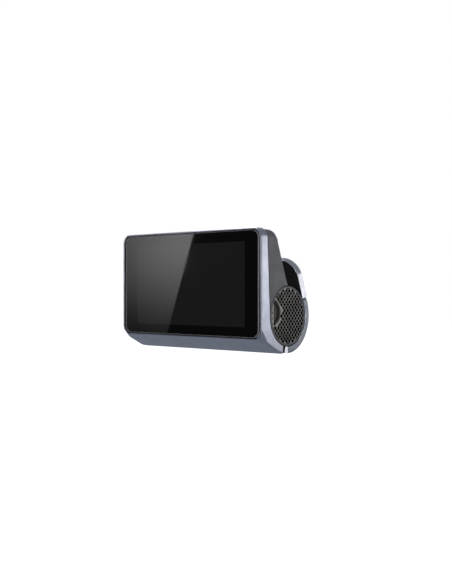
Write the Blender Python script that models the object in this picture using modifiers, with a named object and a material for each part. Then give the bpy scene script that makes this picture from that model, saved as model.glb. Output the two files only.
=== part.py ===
"""Dash camera: a screen unit with a barrel behind it, a lens drum, and a windscreen bracket.

Constants are in millimetres and the scene is in metres. The design frame starts at the centre of the
screen glass: X runs along the screen, Y runs from the driver towards the windscreen, and Z is up. The
design_frame empty then puts the world's origin at the centre of the adhesive pad's outer face.
"""

from math import acos, atan2, cos, degrees, radians, sin, sqrt

import bmesh
import bpy
from mathutils import Vector

# ---- driving dimensions, in millimetres ----
GAP = 0.3  # clearance between neighbouring pieces
HALF_WIDTH = 43.04  # the flat ends of the camera are at X = -HALF_WIDTH and +HALF_WIDTH
FRONT_Y = -0.15  # the frame's front lip
TOP_Z = 24.4
FRAME_BOTTOM_Z = -24.3
FRAME_CORNER = 4.3
FRAME_WALL = 1.5

GLASS_WIDTH = 83.07
GLASS_HEIGHT = 47.14
GLASS_THICK = 1.1
GLASS_CORNER = 3.8
SCREEN_WIDTH = 66.4
SCREEN_HEIGHT = 37.35
SCREEN_CENTRE = (0.34, -0.2)
SCREEN_OPENING = (80.0, 43.6)  # in the frame, behind the glass
DISPLAY_BORDER = 1.8  # the display panel is larger than the lit screen by this on each side

AXIS_Y = 19.27  # the barrel's axis, along X
AXIS_Z = -14.25
END_RADIUS = 13.36  # the grilles at both ends of the barrel
BARREL_RADIUS = 13.2
BARREL_WALL = 1.4
BAND_INNER = END_RADIUS + GAP
BAND_OUTER = 16.6  # the rear shell

CHIN_SLOPE = 27.0  # degrees; the face under the screen falls back at this slope
CHIN_START_Y = 0.3
CHIN_RADIUS = 12.3  # and ends in this radius, tangent to the lowest point
CHIN_LOW = (16.4, -31.0)
CHIN_END_Y = 15.43  # front edge of the slit between frame and rear shell
SEAM_TOP_Y = 3.72  # the frame and the cover meet on a line from here at the top
SEAM_LOW = (5.75, -13.5)  # to here, beside the grille

BACK_SLOPE = 20.7  # degrees from vertical
BACK_FOOT = (18.7, -0.33)  # a point on the cover's sloping back
COVER_TOP_Z = 23.9
COVER_LOW_Z = -11.2  # the cheeks' lowest point, between the seam and the grille
COVER_WALL = 1.5

SHELL_FROM = -95.0  # degrees about the barrel's axis, from +Y towards +Z
SHELL_TO = 28.5
WINDOW_FROM = -85.0  # the lens looks out of this opening and can tilt 15 degrees each way in it
WINDOW_TO = 11.0
WINDOW_HALF = 14.0
SHELL_SCREWS = (17.0, -87.5)  # where the shell is screwed to its two arms, degrees about the axis
SCREW_RADIUS = 1.3

PLATE_FOOT = (32.5, -6.5)
PLATE_LEAN = 19.7  # degrees from vertical, the top towards the driver
PLATE_HEIGHT = 19.3
PLATE_THICK = 3.5
PLATE_CORNER = 9.0
PAD_SIZE = (70.0, 13.0)
PAD_THICK = 0.8
PAD_MIDDLE = 9.4  # height of the pad's centre up the plate

DRUM_HALF = 17.1
LENS_AIM = -37.0  # degrees about the barrel's axis
ARM_X = (17.4, 19.2)
BULKHEAD_X = (19.5, 20.9)
PIVOT_RADIUS = 4.5
PIVOT_BORE = 3.2
LENS_RADIUS = 7.2
LENS_TIP = 14.8  # the lens barrel's front, measured from the barrel's axis

SLOT_Y = (8.55, 9.6)  # the microSD slot in the right-hand grille
SLOT_Z = (-18.05, -6.95)
SCOOP_CENTRE = (8.18, -12.5)  # the thumb scoop beside it is part of a disc
SCOOP_RADIUS = 5.25
SCOOP_WALL = 0.6
HOLE_PITCH = (2.4, 2.5)
HOLE_SHARE = 0.68  # size of a grille hole in its cell
GRILLE_THICK = 1.2

CARD_LENGTH = 15.0
CARD_WIDTH = 10.5
CARD_THICK = 0.7
CARD_DEPTH = 0.9  # how far the card's end lies inside the grille's face
CARD_PUSH = 0.6  # how far it is pushed in to release it

USB_PLACE = (8.7, 3.6)  # (y, z) on the left-hand cheek
USB_SIZE = (8.9, 3.2)  # along Z and Y
BUTTON_PLACE = (7.4, 15.0)
BUTTON_SIZE = (7.6, 2.4)
BUTTON_DEPTH = 1.9
BUTTON_PROUD = 0.35
BUTTON_TRAVEL = 0.4

BOARD_Y = (5.6, 6.6)
BOARD_Z = (-8.0, 20.5)
BOARD_HALF = 37.0

MM = 0.001
ROUND = 32  # points round a large circle


# ---- scene, materials and placing ----
def clear_scene():
    for obj in list(bpy.data.objects):
        bpy.data.objects.remove(obj)


def collection(name):
    made = bpy.data.collections.new(name)
    bpy.context.scene.collection.children.link(made)
    return made


def material(name, colour, roughness, metallic=0.0):
    made = bpy.data.materials.new(name)
    made.use_nodes = True
    shader = made.node_tree.nodes["Principled BSDF"]
    shader.inputs["Base Color"].default_value = (*colour, 1.0)
    shader.inputs["Roughness"].default_value = roughness
    shader.inputs["Metallic"].default_value = metallic
    return made


clear_scene()
PARTS = collection("dash_camera")
CUTTERS = collection("cutters")

SILVER = material("silver_metal", (0.62, 0.62, 0.72), 0.35, 0.8)
GREY = material("grey_shell", (0.10, 0.10, 0.11), 0.5)
BLACK = material("black_plastic", (0.015, 0.015, 0.017), 0.5)
GRILLE = material("grille_metal", (0.20, 0.20, 0.20), 0.4, 0.6)
GLASS = material("cover_glass", (0.01, 0.01, 0.012), 0.05)
LENS = material("lens_glass", (0.03, 0.03, 0.06), 0.03)
PANEL = material("display_panel", (0.02, 0.02, 0.022), 0.25)
BOARD = material("circuit_board", (0.02, 0.12, 0.06), 0.5)
STEEL = material("steel", (0.55, 0.55, 0.56), 0.3, 1.0)
CHIP = material("chip_black", (0.02, 0.02, 0.02), 0.4)
FOAM = material("adhesive_foam", (0.35, 0.02, 0.02), 0.8)
RUBBER = material("rubber", (0.03, 0.03, 0.03), 0.7)
FLEX = material("flex_cable", (0.45, 0.22, 0.05), 0.45)


def frame_empty(name, place, turn=0.0, parent=None):
    """An empty at (y, z) on the middle plane, turned about X by turn degrees."""
    empty = bpy.data.objects.new(name, None)
    PARTS.objects.link(empty)
    empty.parent = parent
    empty.location = (0.0, place[0] * MM, place[1] * MM)
    empty.rotation_euler = (radians(turn), 0.0, 0.0)
    return empty


def pad_centre():
    """The middle of the adhesive pad's outer face, in the design frame."""
    lean = radians(PLATE_LEAN)
    out = PLATE_THICK / 2 + GAP + PAD_THICK
    y = PLATE_FOOT[0] + out * cos(lean) - PAD_MIDDLE * sin(lean)
    z = PLATE_FOOT[1] + out * sin(lean) + PAD_MIDDLE * cos(lean)
    return y, z


ORIGIN = pad_centre()
DESIGN = frame_empty("design_frame", (-ORIGIN[0], -ORIGIN[1]))
CAMERA = frame_empty("camera_axis", (AXIS_Y, AXIS_Z), parent=DESIGN)
LENS_FRAME = frame_empty("lens_axis", (AXIS_Y, AXIS_Z), LENS_AIM - 90.0, DESIGN)
PLATE_FRAME = frame_empty("plate_foot", PLATE_FOOT, PLATE_LEAN, DESIGN)


def place(obj, group, paint):
    """Gives the piece its material and parent. Its location is in the design frame until here, except
    in the lens and plate frames, where it is in theirs."""
    if group is CAMERA:
        obj.location = obj.location - group.location
    obj.parent = group
    obj.data.materials.clear()
    obj.data.materials.append(paint)
    obj.data.shade_smooth()
    obj.data.set_sharp_from_angle(angle=radians(35))
    return obj


def link(obj, is_cutter=False):
    (CUTTERS if is_cutter else PARTS).objects.link(obj)
    if is_cutter:
        obj.hide_render = True
        obj.display_type = "WIRE"
    return obj


def boolean(obj, operation, other):
    modifier = obj.modifiers.new(operation.lower(), "BOOLEAN")
    modifier.operation = operation
    modifier.solver = "EXACT"
    modifier.object = other


def cut(obj, *cutters, parent=DESIGN):
    for cutter in cutters:
        cutter.parent = parent
        boolean(obj, "DIFFERENCE", cutter)


# ---- outlines: lists of points, in millimetres ----
def arc(centre, radius, start, end, steps):
    """Points from start to end degrees about the centre, both ends included."""
    turns = [radians(start + (end - start) * i / steps) for i in range(steps + 1)]
    return [(centre[0] + radius * cos(t), centre[1] + radius * sin(t)) for t in turns]


def circle(centre, radius, steps=ROUND):
    return arc(centre, radius, 0.0, 360.0, steps)[:-1]


def rounded_box(low, high, radii, steps=5):
    """A rectangle with its own radius at each corner, starting low-left and going round."""
    corners = [(low[0], low[1]), (high[0], low[1]), (high[0], high[1]), (low[0], high[1])]
    inward = [(1, 1), (-1, 1), (-1, -1), (1, -1)]
    points = []
    for i, (corner, side, radius) in enumerate(zip(corners, inward, radii)):
        centre = (corner[0] + side[0] * radius, corner[1] + side[1] * radius)
        points += arc(centre, radius, 180.0 + 90.0 * i, 270.0 + 90.0 * i, steps)
    return points


def centred_box(centre, size, radius, steps=5):
    low = (centre[0] - size[0] / 2, centre[1] - size[1] / 2)
    high = (centre[0] + size[0] / 2, centre[1] + size[1] / 2)
    return rounded_box(low, high, [radius] * 4, steps)


AXIS = (AXIS_Y, AXIS_Z)
SIDE = (radians(90.0), 0.0, radians(90.0))  # an outline of (y, z), extruded along X
FACE = (radians(90.0), 0.0, 0.0)  # an outline of (x, z), extruded along Y


def flat_solid(name, loops, low, high, facing, is_cutter=False):
    """A flat outline, with further loops as holes, from low to high along the axis it faces."""
    curve = bpy.data.curves.new(name, "CURVE")
    curve.dimensions = "2D"
    curve.fill_mode = "BOTH"
    curve.extrude = (high - low) / 2 * MM
    for loop in loops:
        spline = curve.splines.new("POLY")
        spline.points.add(len(loop) - 1)
        for point, (u, v) in zip(spline.points, loop):
            point.co = (u * MM, v * MM, 0.0, 1.0)
        spline.use_cyclic_u = True
    drawn = bpy.data.objects.new(name, curve)
    PARTS.objects.link(drawn)
    graph = bpy.context.evaluated_depsgraph_get()
    mesh = bpy.data.meshes.new_from_object(drawn.evaluated_get(graph))
    bpy.data.objects.remove(drawn)
    mesh.name = name
    bm = bmesh.new()
    bm.from_mesh(mesh)
    bmesh.ops.remove_doubles(bm, verts=bm.verts, dist=1e-6)
    bm.to_mesh(mesh)
    bm.free()
    obj = bpy.data.objects.new(name, mesh)
    middle = (low + high) / 2 * MM
    obj.rotation_euler = facing
    obj.location = (middle, 0.0, 0.0) if facing is SIDE else (0.0, middle, 0.0)
    return link(obj, is_cutter)


def box(name, low, high, bevel=0.0, is_cutter=False):
    """A block between two corners, its edges rounded by bevel."""
    bm = bmesh.new()
    bmesh.ops.create_cube(bm, size=1.0)
    size = Vector(high) - Vector(low)
    bmesh.ops.scale(bm, vec=size * MM, verts=bm.verts)
    mesh = bpy.data.meshes.new(name)
    bm.to_mesh(mesh)
    bm.free()
    obj = bpy.data.objects.new(name, mesh)
    obj.location = (Vector(low) + Vector(high)) / 2 * MM
    if bevel:
        modifier = obj.modifiers.new("rounding", "BEVEL")
        modifier.width = bevel * MM
        modifier.segments = 2
    return link(obj, is_cutter)


def turned(name, profile, steps=ROUND, is_cutter=False, along="X"):
    """A closed (radius, height) profile turned about X through the barrel's axis, or about Z."""
    mesh = bpy.data.meshes.new(name)
    points = [(radius * MM, 0.0, height * MM) for radius, height in profile]
    edges = [(i, (i + 1) % len(points)) for i in range(len(points))]
    if min(radius for radius, _ in profile) < 1e-6:
        edges.pop()
    mesh.from_pydata(points, edges, [])
    obj = bpy.data.objects.new(name, mesh)
    screw = obj.modifiers.new("turn", "SCREW")
    screw.steps = steps
    screw.render_steps = steps
    screw.use_merge_vertices = True
    screw.merge_threshold = 0.00001
    if along == "X":
        obj.rotation_euler = (0.0, radians(90.0), 0.0)
        obj.location = (0.0, AXIS_Y * MM, AXIS_Z * MM)
    return link(obj, is_cutter)


def screw(name, spot, angle, profile, paint, steps=12):
    """A screw at (x, y, z) whose head points along angle in YZ: a profile turned about that line."""
    fastener = turned(name, profile, steps, along="Z")
    fastener.location = Vector(spot) * MM
    fastener.rotation_euler = (radians(angle - 90.0), 0.0, 0.0)
    place(fastener, DESIGN, paint)


def ring_profile(inner, outer, low, high):
    """Runs down the outer side, then up the inner side."""
    return [(outer, high), (outer, low), (inner, low), (inner, high)]


def disc_profile(outer, low, high):
    """Runs from the axis out along the top, down the outer side and back to the axis."""
    return [(0.0, high), (outer, high), (outer, low), (0.0, low)]


def mirrored_x(side, low, high):
    """The X range on the right (side +1) or the left (side -1)."""
    return (low, high) if side > 0 else (-high, -low)


# ---- outer shapes shared by the frame and the cover ----
def chin_points(steps=6):
    """The underside from the frame's lower edge to the slit: a straight slope and an arc."""
    slope = radians(CHIN_SLOPE)
    start = 270.0 - CHIN_SLOPE
    centre = (CHIN_LOW[0], CHIN_LOW[1] + CHIN_RADIUS)
    end = 180.0 + degrees(acos((centre[0] - CHIN_END_Y) / CHIN_RADIUS))
    curve = arc(centre, CHIN_RADIUS, start, end, steps)
    front = (CHIN_START_Y, curve[0][1] + (curve[0][0] - CHIN_START_Y) * sin(slope) / cos(slope))
    return [front] + curve


def chin_height(y):
    """Height of the underside at y."""
    points = chin_points()
    for (y0, z0), (y1, z1) in zip(points, points[1:]):
        if y <= y1:
            return z0 + (z1 - z0) * max(0.0, y - y0) / (y1 - y0)
    return points[-1][1]


def back_y(z):
    """Y of the cover's sloping back at height z."""
    slope = radians(BACK_SLOPE)
    return BACK_FOOT[0] - (z - BACK_FOOT[1]) * sin(slope) / cos(slope)


def angle_at(radius, y=None, z=None):
    """Degrees about the barrel's axis where a circle crosses y on its lower half, or z on its left."""
    if y is not None:
        return -degrees(acos((y - AXIS_Y) / radius))
    return 180.0 - degrees(atan2(z - AXIS_Z, sqrt(radius**2 - (z - AXIS_Z) ** 2)))


def frame_side():
    """The silver frame seen from its end: lip, seam with the cover, grille circle and underside."""
    lower = angle_at(BAND_INNER, y=CHIN_END_Y)
    upper = angle_at(BAND_INNER, z=SEAM_LOW[1] + 0.4)
    circle_part = arc(AXIS, BAND_INNER, 360.0 + lower, upper, 14)
    outline = [(FRONT_Y, TOP_Z), (FRONT_Y, FRAME_BOTTOM_Z)] + chin_points()
    return outline + circle_part + [(SEAM_TOP_Y, TOP_Z)]


def lower_corner(y):
    """Corner radius of the frame's lower edges: it starts as the glass frame's and tightens."""
    return max(1.0, FRAME_CORNER - 0.95 * max(0.0, y - CHIN_START_Y))


def loft(name, sections, is_cutter=False):
    """A skin through sections of (y, outline of (x, z)) with equal numbers of points, closed at both ends."""
    bm = bmesh.new()
    rings = [[bm.verts.new((x * MM, y * MM, z * MM)) for x, z in outline] for y, outline in sections]
    for ring, following in zip(rings, rings[1:]):
        for i in range(len(ring)):
            j = (i + 1) % len(ring)
            bm.faces.new((ring[i], ring[j], following[j], following[i]))
    bm.faces.new(rings[0])
    bm.faces.new(rings[-1])
    bmesh.ops.recalc_face_normals(bm, faces=bm.faces)
    mesh = bpy.data.meshes.new(name)
    bm.to_mesh(mesh)
    bm.free()
    return link(bpy.data.objects.new(name, mesh), is_cutter)


def frame_loft(name, shrink=0.0, front=FRONT_Y, is_cutter=False):
    """The frame's whole outer body, drawn in by shrink on every side."""
    sections = []
    for y in (front, CHIN_START_Y + 0.2, 1.4, 2.6, 3.8, 6.5, 10.8, 13.0, CHIN_END_Y):
        low = (-HALF_WIDTH + shrink, chin_height(y) + shrink)
        high = (HALF_WIDTH - shrink, TOP_Z - shrink)
        bottom = max(0.4, lower_corner(y) - shrink)
        top = FRAME_CORNER - shrink
        sections.append((y, rounded_box(low, high, [bottom, bottom, top, top])))
    return loft(name, sections, is_cutter)


# ---- screen unit ----
def front_frame():
    """The silver frame: a lip round the glass, side strips, and the chin that runs under the barrel."""
    frame = frame_loft("front_frame")
    trim = flat_solid("frame_trim", [frame_side()], -50.0, 50.0, SIDE, True)
    trim.parent = DESIGN
    boolean(frame, "INTERSECT", trim)
    seat_size = (GLASS_WIDTH + 2 * GAP, GLASS_HEIGHT + 2 * GAP)
    seat = centred_box((0.0, 0.0), seat_size, GLASS_CORNER + GAP)
    glass_seat = flat_solid("glass_seat", [seat], -2.0, GLASS_THICK + GAP, FACE, True)
    opening = centred_box((0.0, 0.0), SCREEN_OPENING, 2.0)
    screen_opening = flat_solid("screen_opening", [opening], 0.0, 2.6, FACE, True)
    sections = []
    for y in (2.5, 3.8, 6.5, 10.8, 13.0, CHIN_END_Y + 1.0):
        low = (-HALF_WIDTH + FRAME_WALL, chin_height(y) + FRAME_WALL)
        high = (HALF_WIDTH - FRAME_WALL, TOP_Z - FRAME_WALL)
        sections.append((y, rounded_box(low, high, [0.6, 0.6, 2.8, 2.8], 3)))
    hollow = loft("frame_hollow", sections, True)
    cut(frame, glass_seat, screen_opening, hollow)
    place(frame, DESIGN, SILVER)


def back_cover():
    """The grey cover: side cheeks, top and sloping back, open towards the frame and over the barrel."""
    back_top = (back_y(COVER_TOP_Z), COVER_TOP_Z)
    outline = [(back_y(0.2), 0.2), (back_y(COVER_TOP_Z - 2.6), COVER_TOP_Z - 2.6)]
    outline += [(back_top[0] - 0.3, COVER_TOP_Z - 1.0), (back_top[0] - 1.6, COVER_TOP_Z - 0.1)]
    outline += [(SEAM_TOP_Y + GAP, COVER_TOP_Z)]
    outline += arc(AXIS, BAND_INNER, angle_at(BAND_INNER, z=COVER_LOW_Z), 90.0, 10)
    cover = flat_solid("back_cover", [outline], -HALF_WIDTH, HALF_WIDTH, SIDE)
    front_view = rounded_box((-HALF_WIDTH, -40.0), (HALF_WIDTH, COVER_TOP_Z), [1.0, 1.0, 4.3, 4.3])
    envelope = flat_solid("cover_envelope", [front_view], -5.0, 40.0, FACE, True)
    envelope.parent = DESIGN
    boolean(cover, "INTERSECT", envelope)
    inner_top = COVER_TOP_Z - COVER_WALL
    inner = [(back_y(-1.5) - COVER_WALL, -1.5), (back_y(inner_top) - COVER_WALL, inner_top)]
    inner += [(0.0, inner_top), (0.0, -20.0), (back_y(-1.5) - COVER_WALL, -20.0)]
    half = HALF_WIDTH - COVER_WALL
    hollow = flat_solid("cover_hollow", [inner], -half, half, SIDE, True)
    inlet = centred_box(USB_PLACE, (USB_SIZE[1] + 2 * GAP, USB_SIZE[0] + 2 * GAP), 1.8)
    usb_hole = flat_solid("usb_hole", [inlet], -50.0, -40.0, SIDE, True)
    button = centred_box(BUTTON_PLACE, (BUTTON_SIZE[1] + 2 * GAP, BUTTON_SIZE[0] + 2 * GAP), 1.5)
    button_hole = flat_solid("button_hole", [button], -50.0, -40.0, SIDE, True)
    cut(cover, hollow, usb_hole, button_hole)
    place(cover, DESIGN, GREY)


def screen_stack():
    """Cover glass, display, its backlight and the metal plate that carries them."""
    pane = centred_box((0.0, 0.0), (GLASS_WIDTH, GLASS_HEIGHT), GLASS_CORNER)
    place(flat_solid("cover_glass", [pane], 0.0, GLASS_THICK, FACE), DESIGN, GLASS)
    display_size = (SCREEN_WIDTH + 2 * DISPLAY_BORDER, SCREEN_HEIGHT + 2 * DISPLAY_BORDER)
    display = centred_box(SCREEN_CENTRE, display_size, 0.8, 2)
    place(flat_solid("display_panel", [display], 1.4, 2.6, FACE), DESIGN, PANEL)
    place(flat_solid("display_backlight", [display], 2.9, 3.7, FACE), DESIGN, BLACK)
    carrier = centred_box((0.0, 0.8), (80.0, 40.0), 2.0)
    slots = [centred_box((x, 2.0), (20.0, 14.0), 1.5, 3) for x in (-24.0, 24.0)]
    place(flat_solid("display_carrier", [carrier] + slots, 4.0, 4.8, FACE), DESIGN, STEEL)


def electronics():
    """The main board with its shield, chip, capacitors and aerials, all behind the display."""
    middle = (BOARD_Z[0] + BOARD_Z[1]) / 2
    outline = centred_box((0.0, middle), (2 * BOARD_HALF, BOARD_Z[1] - BOARD_Z[0]), 1.0, 2)
    holes = [circle((x, z), 1.3, 10) for x in (-34.0, 34.0) for z in (-5.0, 17.0)]
    place(flat_solid("main_board", [outline] + holes, *BOARD_Y, FACE), DESIGN, BOARD)
    rod = [(0.0, 7.6), (1.7, 7.6), (1.9, 6.9), (1.0, 6.9), (1.0, 5.1), (0.0, 5.1)]
    for x, name in ((-34.0, "left"), (34.0, "right")):
        screw("board_screw_" + name, (x, 0.0, 17.0), 0.0, rod, STEEL)
    ribbon = [(4.0, -4.0), (4.2, -4.0), (4.2, 1.9), (5.3, 3.5)]
    ribbon += [(5.3, 7.5), (5.1, 7.5), (5.1, 3.6), (4.0, 2.0)]
    place(flat_solid("display_cable", [ribbon], 18.0, 30.0, SIDE), DESIGN, FLEX)
    place(box("processor", (-7.0, 6.9, 3.0), (7.0, 8.0, 15.0)), DESIGN, CHIP)
    place(box("memory_chip", (10.0, 6.9, 9.0), (18.0, 7.8, 19.0)), DESIGN, CHIP)
    place(box("thermal_pad", (-6.5, 8.3, 3.5), (6.5, 8.8, 14.5)), DESIGN, RUBBER)
    place(box("heat_spreader", (-9.0, 9.1, -1.0), (9.0, 9.6, 15.5), 0.15), DESIGN, STEEL)
    place(box("gps_antenna", (-24.0, 6.9, 8.5), (-12.0, 9.2, 18.5), 0.2), DESIGN, SILVER)
    place(box("wifi_antenna", (20.0, 6.9, 13.0), (31.5, 7.5, 19.5)), DESIGN, FLEX)
    for side, name in ((-1, "left"), (1, "right")):
        low, high = mirrored_x(side, 12.0, 32.0)
        cell = turned("supercapacitor_" + name, disc_profile(3.2, low, high), 16)
        cell.location = (0.0, 11.6 * MM, 3.0 * MM)
        place(cell, DESIGN, BLACK)
    body = centred_box(USB_PLACE, (USB_SIZE[1], USB_SIZE[0]), 1.5)
    port = flat_solid("usb_c_inlet", [body], -HALF_WIDTH + 0.3, -34.5, SIDE)
    mouth = centred_box(USB_PLACE, (USB_SIZE[1] - 0.6, USB_SIZE[0] - 0.6), 1.2)
    cut(port, flat_solid("usb_mouth", [mouth], -50.0, -36.0, SIDE, True))
    place(port, DESIGN, STEEL)
    tongue = box("usb_tongue", (-41.5, USB_PLACE[0] - 0.35, 0.6), (-36.4, USB_PLACE[0] + 0.35, 6.6))
    place(tongue, DESIGN, CHIP)


def power_button():
    """A key in the left cheek, with the switch that it presses."""
    key_outline = centred_box(BUTTON_PLACE, (BUTTON_SIZE[1], BUTTON_SIZE[0]), 1.15)
    low = -HALF_WIDTH - BUTTON_PROUD
    key = flat_solid("power_button", [key_outline], low, low + BUTTON_DEPTH, SIDE)
    place(key, DESIGN, GREY)
    low_x = low + BUTTON_DEPTH + BUTTON_TRAVEL + 0.1
    switch_low = (low_x, 6.9, BUTTON_PLACE[1] - 1.8)
    switch_high = (low_x + 3.0, 8.6, BUTTON_PLACE[1] + 1.8)
    place(box("button_switch", switch_low, switch_high, 0.15), DESIGN, STEEL)


# ---- barrel ends, card and speaker ----
def grille_holes(reach, keep_clear):
    """Diamond holes on a staggered grid, out to reach from the axis, clear of the card slot if asked."""
    holes = []
    half_y = HOLE_PITCH[0] / 2 * HOLE_SHARE
    half_z = HOLE_PITCH[1] / 2 * HOLE_SHARE
    for column in range(-10, 11):
        for row in range(-6, 7):
            y = AXIS_Y + column * HOLE_PITCH[0] / 2
            z = AXIS_Z + (row + 0.5 * (column % 2)) * HOLE_PITCH[1]
            radius = sqrt((y - AXIS_Y) ** 2 + (z - AXIS_Z) ** 2)
            from_scoop = sqrt((y - SCOOP_CENTRE[0]) ** 2 + (z - SCOOP_CENTRE[1]) ** 2)
            by_slot = y < SLOT_Y[1] + 1.3 and SLOT_Z[0] - 1.2 < z < SLOT_Z[1] + 1.2
            if radius > reach or keep_clear and (from_scoop < SCOOP_RADIUS + GAP + 1.3 or by_slot):
                continue
            holes.append([(y - half_y, z), (y, z - half_z), (y + half_y, z), (y, z + half_z)])
    return holes


def scoop_outline(radius, edge):
    """A disc's part to the right of the line y = edge."""
    half = degrees(acos((edge - SCOOP_CENTRE[0]) / radius))
    return arc(SCOOP_CENTRE, radius, -half, half, 12)


def card_opening():
    """The slot and the scoop beside it, as one hole in the grille."""
    curved = scoop_outline(SCOOP_RADIUS + GAP, SLOT_Y[1])
    below = [(SLOT_Y[0], SLOT_Z[0]), (SLOT_Y[1], SLOT_Z[0])]
    return below + curved + [(SLOT_Y[1], SLOT_Z[1]), (SLOT_Y[0], SLOT_Z[1])]


def grilles():
    small = [[(y - 0.5, z), (y, z - 0.5), (y + 0.5, z), (y, z + 0.5)] for y, z in left_column()]
    low, high = HALF_WIDTH - GRILLE_THICK, HALF_WIDTH
    right = [circle(AXIS, END_RADIUS, 48), card_opening()] + grille_holes(11.4, True) + small
    place(flat_solid("grille_right", right, low, high, SIDE), CAMERA, GRILLE)
    left = [circle(AXIS, END_RADIUS, 48)] + grille_holes(7.0, False)
    place(flat_solid("grille_left", left, -high, -low, SIDE), CAMERA, GRILLE)


def left_column():
    """Centres of the four small holes between the slot and the grille's edge."""
    middle = (SLOT_Z[0] + SLOT_Z[1]) / 2 - 1.3
    return [(7.5, middle + step * HOLE_PITCH[1]) for step in (-1.5, -0.5, 0.5, 1.5)]


def card_parts():
    """The thumb scoop, the socket and the microSD card, which slides along X."""
    edge = SLOT_Y[1] + 0.1
    low, high = 41.0, HALF_WIDTH - 0.2
    scoop = flat_solid("card_scoop", [scoop_outline(SCOOP_RADIUS, edge)], low, high, SIDE)
    pocket = scoop_outline(SCOOP_RADIUS - SCOOP_WALL, edge - 1.0)
    cut(scoop, flat_solid("scoop_pocket", [pocket], low + SCOOP_WALL, 50.0, SIDE, True))
    place(scoop, DESIGN, BLACK)
    middle = (SLOT_Z[0] + SLOT_Z[1]) / 2
    half_y = CARD_THICK / 2
    centre_y = (SLOT_Y[0] + SLOT_Y[1]) / 2
    card_end = HALF_WIDTH - CARD_DEPTH
    card_outline = [
        (card_end - CARD_LENGTH, middle - CARD_WIDTH / 2),
        (card_end, middle - CARD_WIDTH / 2),
        (card_end, middle + CARD_WIDTH / 2),
        (card_end - 8.6, middle + CARD_WIDTH / 2),
        (card_end - 9.9, middle + CARD_WIDTH / 2 - 1.3),
        (card_end - CARD_LENGTH, middle + CARD_WIDTH / 2 - 1.3),
    ]
    card = flat_solid("microsd_card", [card_outline], centre_y - half_y, centre_y + half_y, FACE)
    place(card, DESIGN, CHIP)
    inner = (card_end - CARD_LENGTH - CARD_PUSH - 0.3, centre_y - half_y - GAP, SLOT_Z[0] - 0.1)
    mouth = box("card_mouth", inner, (50.0, centre_y + half_y + GAP, SLOT_Z[1] + 0.1), 0.0, True)
    socket_low = (inner[0] - 0.8, inner[1] - 0.6, inner[2] - 0.6)
    socket = box("card_socket", socket_low, (40.7, centre_y + half_y + 0.9, SLOT_Z[1] + 0.7))
    cut(socket, mouth)
    place(socket, DESIGN, STEEL)


def barrel_tubes():
    """The dark tubes on both sides of the lens drum, each with a bulkhead that turns on its pivot."""
    inner = BARREL_RADIUS - BARREL_WALL
    bore = PIVOT_RADIUS + GAP
    end = HALF_WIDTH - GRILLE_THICK - GAP
    near, far = BULKHEAD_X
    right = [(BARREL_RADIUS, end), (BARREL_RADIUS, near), (bore, near)]
    right += [(bore, far), (inner, far), (inner, end)]
    left = [(radius, -x) for radius, x in reversed(right)]
    for side, name, profile in ((1, "right", right), (-1, "left", left)):
        tube = turned("barrel_tube_" + name, profile, 40)
        low, high = mirrored_x(side, 24.5, 45.0)
        opening = box("barrel_opening_" + name, (low, 2.0, -19.5), (high, 10.8, 2.0), 0.0, True)
        cut(tube, opening)
        place(tube, CAMERA, BLACK)


def speaker():
    """A round speaker behind the right-hand grille, and the microphone behind the left."""
    shift = Vector((0.0, 1.4 * MM, 0.0))
    basket = [(9.6, 40.4), (9.6, 34.0), (4.4, 34.0), (4.4, 34.8), (8.9, 34.8), (8.9, 40.4)]
    cone = [(0.0, 36.8), (3.0, 36.8), (8.5, 39.8), (8.5, 39.3), (3.0, 36.2), (0.0, 36.2)]
    shapes = (("speaker_basket", basket, STEEL), ("speaker_cone", cone, RUBBER))
    for name, profile, paint in shapes + (("speaker_magnet", disc_profile(6.0, 30.2, 33.7), STEEL),):
        piece = turned(name, profile, 24)
        piece.location = piece.location + shift
        place(piece, CAMERA, paint)
    place(box("microphone", (-41.3, 17.3, -15.8), (-40.1, 21.3, -12.8), 0.15), DESIGN, STEEL)


# ---- hinge: arms and pivots of the bracket ----
def hinge():
    """On each side: an arm of the bracket, its hollow pivot, and the washer and nut that set the friction."""
    for side, name in ((-1, "left"), (1, "right")):
        bore = PIVOT_RADIUS + GAP
        low, high = mirrored_x(side, *ARM_X)
        place(turned("bracket_arm_" + name, ring_profile(bore, BARREL_RADIUS, low, high), 40), DESIGN, BLACK)
        low, high = mirrored_x(side, 14.9, 25.0)
        pivot = ring_profile(PIVOT_BORE, PIVOT_RADIUS, low, high)
        place(turned("pivot_tube_" + name, pivot, 24), DESIGN, STEEL)
        low, high = mirrored_x(side, 21.2, 21.8)
        place(turned("friction_washer_" + name, ring_profile(bore, 9.0, low, high), 24), DESIGN, RUBBER)
        low, high = mirrored_x(side, 22.1, 24.3)
        nut = [circle(AXIS, 7.5, 6), circle(AXIS, bore, 24)]
        place(flat_solid("clamp_nut_" + name, nut, low, high, SIDE), DESIGN, STEEL)


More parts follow.
